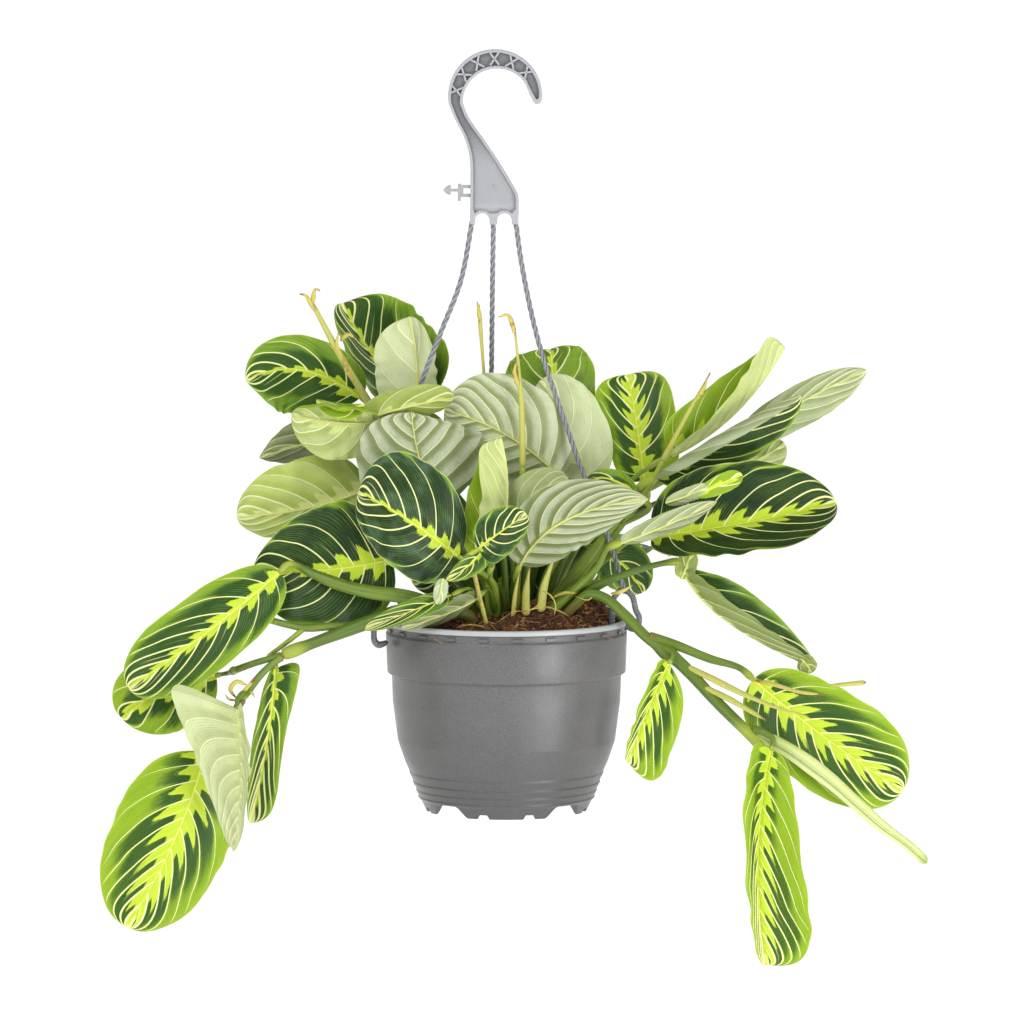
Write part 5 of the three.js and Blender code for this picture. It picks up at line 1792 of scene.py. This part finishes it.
class PRAYER_PLANT_OT_pot(bpy.types.Operator):
    """Makes the hanging pot, with its feet, drain holes and ribbed lip"""

    bl_idname = "prayer_plant.pot"
    bl_label = "Pot"

    def execute(self, context):
        settings = context.scene.prayer_plant.pot
        tree = geometry_tree("Lip ribs", RIB_RING_INPUTS, rib_ring_shape)
        made = grow(
            "pot", tree, drained(pot_mesh(), settings.hole), count=settings.ribs,
            centre=tuple(place(0, 0, LIP_RIBS["height"])), radius=LIP_RIBS["radius"] * MM,
            turn=LIP_RIBS["turn"], size=tuple(Vector(LIP_RIBS["size"]) * MM),
            finish=material("Pot plastic", pot_finish, settings),
        )
        made.data.set_sharp_from_angle(angle=SHARP)
        fit(made, "pot", "pot")
        return {"FINISHED"}


class PRAYER_PLANT_OT_potting_mix(bpy.types.Operator):
    """Makes the coir and peat mix, with its crumbs, clods, fibres and loose roots"""

    bl_idname = "prayer_plant.potting_mix"
    bl_label = "Potting Mix"

    def execute(self, context):
        settings = context.scene.prayer_plant.mix
        tree = geometry_tree("Potting mix", SOIL_INPUTS, soil_shape)
        made = grow(
            "potting_mix", tree, soil_mesh(), crumbs=STREWN["crumbs"], crumb_size=settings.crumb_size,
            clods=STREWN["clods"], clod_size=settings.clod_size, fibres=STREWN["fibres"],
            fibre_length=settings.fibre, roots=STREWN["roots"], root_length=settings.root, roughness=MM,
            top=place(0, 0, STREWN["top"]).z, seed=STREWN["seed"],
            finish=material("Coir and peat", mix_finish, settings),
        )
        fit(made, "potting_mix", "potting_mix")
        return {"FINISHED"}


class PRAYER_PLANT_OT_hook(bpy.types.Operator):
    """Makes the hanger's hook plate"""

    bl_idname = "prayer_plant.hook"
    bl_label = "Hook"

    def execute(self, context):
        settings = context.scene.prayer_plant.hanger
        made = link("hanger_hook", hook_mesh())
        made.data.materials.append(material("Hanger plastic", hanger_finish, settings, settings.grey))
        fit(made, "hanger", "hanger_hook")
        return {"FINISHED"}


class PRAYER_PLANT_OT_strands(bpy.types.Operator):
    """Makes the hanger's three twisted strands"""

    bl_idname = "prayer_plant.strands"
    bl_label = "Strands"

    def execute(self, context):
        settings = context.scene.prayer_plant.hanger
        finish = material("Strand plastic", hanger_finish, settings, settings.strand, True)
        tree = geometry_tree("Laid strand", STRAND_INPUTS, strand_shape)
        for side in STRAND_ROUTES:
            name = "hanger_strand_" + side
            path = Rod(strand_path(side), ((0, 1), (1, 1)), step=STRAND_STEP, rounded=False)
            made = grow(
                name, tree, rod_lines(name, [path]), plies=settings.plies, ply_radius=settings.ply,
                lay_radius=settings.lay, pitch=settings.pitch, finish=finish,
            )
            fit(made, "hanger", name)
        return {"FINISHED"}


class PRAYER_PLANT_OT_rim_clips(bpy.types.Operator):
    """Makes the three clips that hold the strands on the rim"""

    bl_idname = "prayer_plant.rim_clips"
    bl_label = "Rim Clips"

    def execute(self, context):
        settings = context.scene.prayer_plant.hanger
        finish = material("Clip plastic", hanger_finish, settings, settings.clip)
        for side in CLIP_TURNS:
            name = "rim_clip_" + side
            fit(make_rods(name, clip_rods(side), finish, sides=16), "hanger", name)
        return {"FINISHED"}


class PRAYER_PLANT_OT_stems(bpy.types.Operator):
    """Makes the crown's leaf stalks and the two trailing stems"""

    bl_idname = "prayer_plant.stems"
    bl_label = "Stems"

    def execute(self, context):
        skin = material("Stem skin", stem_finish, context.scene.prayer_plant.stem)
        for name, rods in (
            ("crown_stems", crown_rods()),
            ("left_trailing_stem", left_stem_rods()),
            ("right_trailing_stem", right_stem_rods()),
        ):
            fit(make_rods(name, rods, skin), "stem", name)
        return {"FINISHED"}


class PRAYER_PLANT_OT_flower_stalks(bpy.types.Operator):
    """Makes the dried flower stalks with their bracts"""

    bl_idname = "prayer_plant.flower_stalks"
    bl_label = "Flower Stalks"

    def execute(self, context):
        dry = material("Dried stalk", dry_finish, context.scene.prayer_plant.stem, 0.6)
        for side in FLOWER_STALKS:
            name = "flower_stalk_" + side
            fit(make_rods(name, flower_rods(side), dry), "stem" if side == "lime" else "dry_stalk", name)
        return {"FINISHED"}


class PRAYER_PLANT_OT_dry_bits(bpy.types.Operator):
    """Makes the dried bracts and sheaths that lie on the stems and leaves"""

    bl_idname = "prayer_plant.dry_bits"
    bl_label = "Dry Bits"

    def execute(self, context):
        papery = material("Papery bract", dry_finish, context.scene.prayer_plant.stem, 0.65)
        for name, bits in DRY_BITS.items():
            rods = [Rod(route(*points), radii, tint, step=1.0) for points, radii, tint in bits]
            fit(make_rods(name, rods, papery, flatness=0.35), "dry_stalk")
        return {"FINISHED"}


class PRAYER_PLANT_OT_leaves(bpy.types.Operator):
    """Makes the leaf blades and the rolled young leaf"""

    bl_idname = "prayer_plant.leaves"
    bl_label = "Leaves"

    def execute(self, context):
        settings = context.scene.prayer_plant
        sizes = settings.leaf_sizes
        upper = material("Leaf upper side", upper_finish, settings.leaf_colours)
        lower = material("Leaf underside", lower_finish, settings.leaf_colours)
        tree = geometry_tree("Leaf blade", BLADE_INPUTS, blade_shape)
        for number, (key, leaf) in enumerate((LEAVES | FOLDS).items()):
            name = "leaf_" + key
            base, middle, tip = route(*leaf.rib)
            veins = max(2, round((tip - base).length / MM / leaf.gap))
            small = min(1.0, leaf.half / FULL_BLADE)
            halves = {}
            for i, side in enumerate(("right", "left")):
                fold, curl = getattr(leaf, side)
                halves[side + "_width"] = tuple(Vector(leaf.wide[i]) * leaf.half * MM)
                halves[side + "_sweep"] = float(leaf.sweep[i])
                halves[side + "_fold"] = float(fold)
                halves[side + "_curl"] = float(curl)
            made = grow(
                name, tree, **halves, base=tuple(base), middle=tuple(middle), tip=tuple(tip),
                face=tuple(Vector(leaf.face).normalized()), widest=leaf.widest, fullness=leaf.full,
                point=leaf.point, thickness=sizes.thickness, veins=float(veins),
                quilting=sizes.quilting * small, ripple=sizes.ripple * leaf.ripple * small,
                seed=float(number * 7 % 31 + 1), tone=(leaf.lime, leaf.dark, leaf.haze),
                reverse=(leaf.yellow, leaf.stripe, leaf.grey), rows=sizes.rows, columns=sizes.columns,
                upper=upper, lower=lower,
            )
            made.data.set_sharp_from_angle(angle=SOFT_SHARP)
            fit(made, "leaf", *([name] if key in LEAVES else []))
        rolled = material("Rolled young leaf", rolled_finish, settings.stem)
        roll = Rod(route(*ROLLED_LEAF), ROLLED_RADII)
        shape = {"sides": 28, "flatness": 0.25, "overlap": 0.22, "sharp": ROLL_SHARP}
        fit(make_rods("rolled_leaf", [roll], rolled, **shape), "leaf")
        return {"FINISHED"}


MAKERS = (
    PRAYER_PLANT_OT_stage, PRAYER_PLANT_OT_pot, PRAYER_PLANT_OT_potting_mix, PRAYER_PLANT_OT_hook,
    PRAYER_PLANT_OT_strands, PRAYER_PLANT_OT_rim_clips, PRAYER_PLANT_OT_stems,
    PRAYER_PLANT_OT_flower_stalks, PRAYER_PLANT_OT_dry_bits, PRAYER_PLANT_OT_leaves,
)


class PRAYER_PLANT_PT_panel(bpy.types.Panel):
    """The plant's pieces and settings"""

    bl_idname = "PRAYER_PLANT_PT_panel"
    bl_label = "Potted Prayer Plant"
    bl_space_type = "VIEW_3D"
    bl_region_type = "UI"
    bl_category = "Prayer Plant"

    def draw(self, context):
        for maker in MAKERS:
            self.layout.operator(maker.bl_idname)
        settings = context.scene.prayer_plant
        for group in settings.bl_rna.properties:
            if group.type != "POINTER" or group.identifier == "rna_type":
                continue
            box = self.layout.box()
            box.label(text=group.identifier.replace("_", " ").title())
            values = getattr(settings, group.identifier)
            for setting in values.bl_rna.properties:
                if setting.identifier not in ("rna_type", "name"):
                    box.prop(values, setting.identifier)


CLASSES = (
    LeafColours, LeafSizes, StemColours, PotSettings, MixSettings, HangerSettings, StageSettings,
    PrayerPlantSettings, *MAKERS, PRAYER_PLANT_PT_panel,
)


def register():
    for kind in CLASSES:
        bpy.utils.register_class(kind)
    bpy.types.Scene.prayer_plant = bpy.props.PointerProperty(type=PrayerPlantSettings)


def unregister():
    del bpy.types.Scene.prayer_plant
    for kind in reversed(CLASSES):
        bpy.utils.unregister_class(kind)


def main():
    """Makes everything."""
    register()
    for maker in MAKERS:
        group, name = maker.bl_idname.split(".")
        getattr(getattr(bpy.ops, group), name)()
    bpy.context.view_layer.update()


if __name__ == "__main__":
    main()
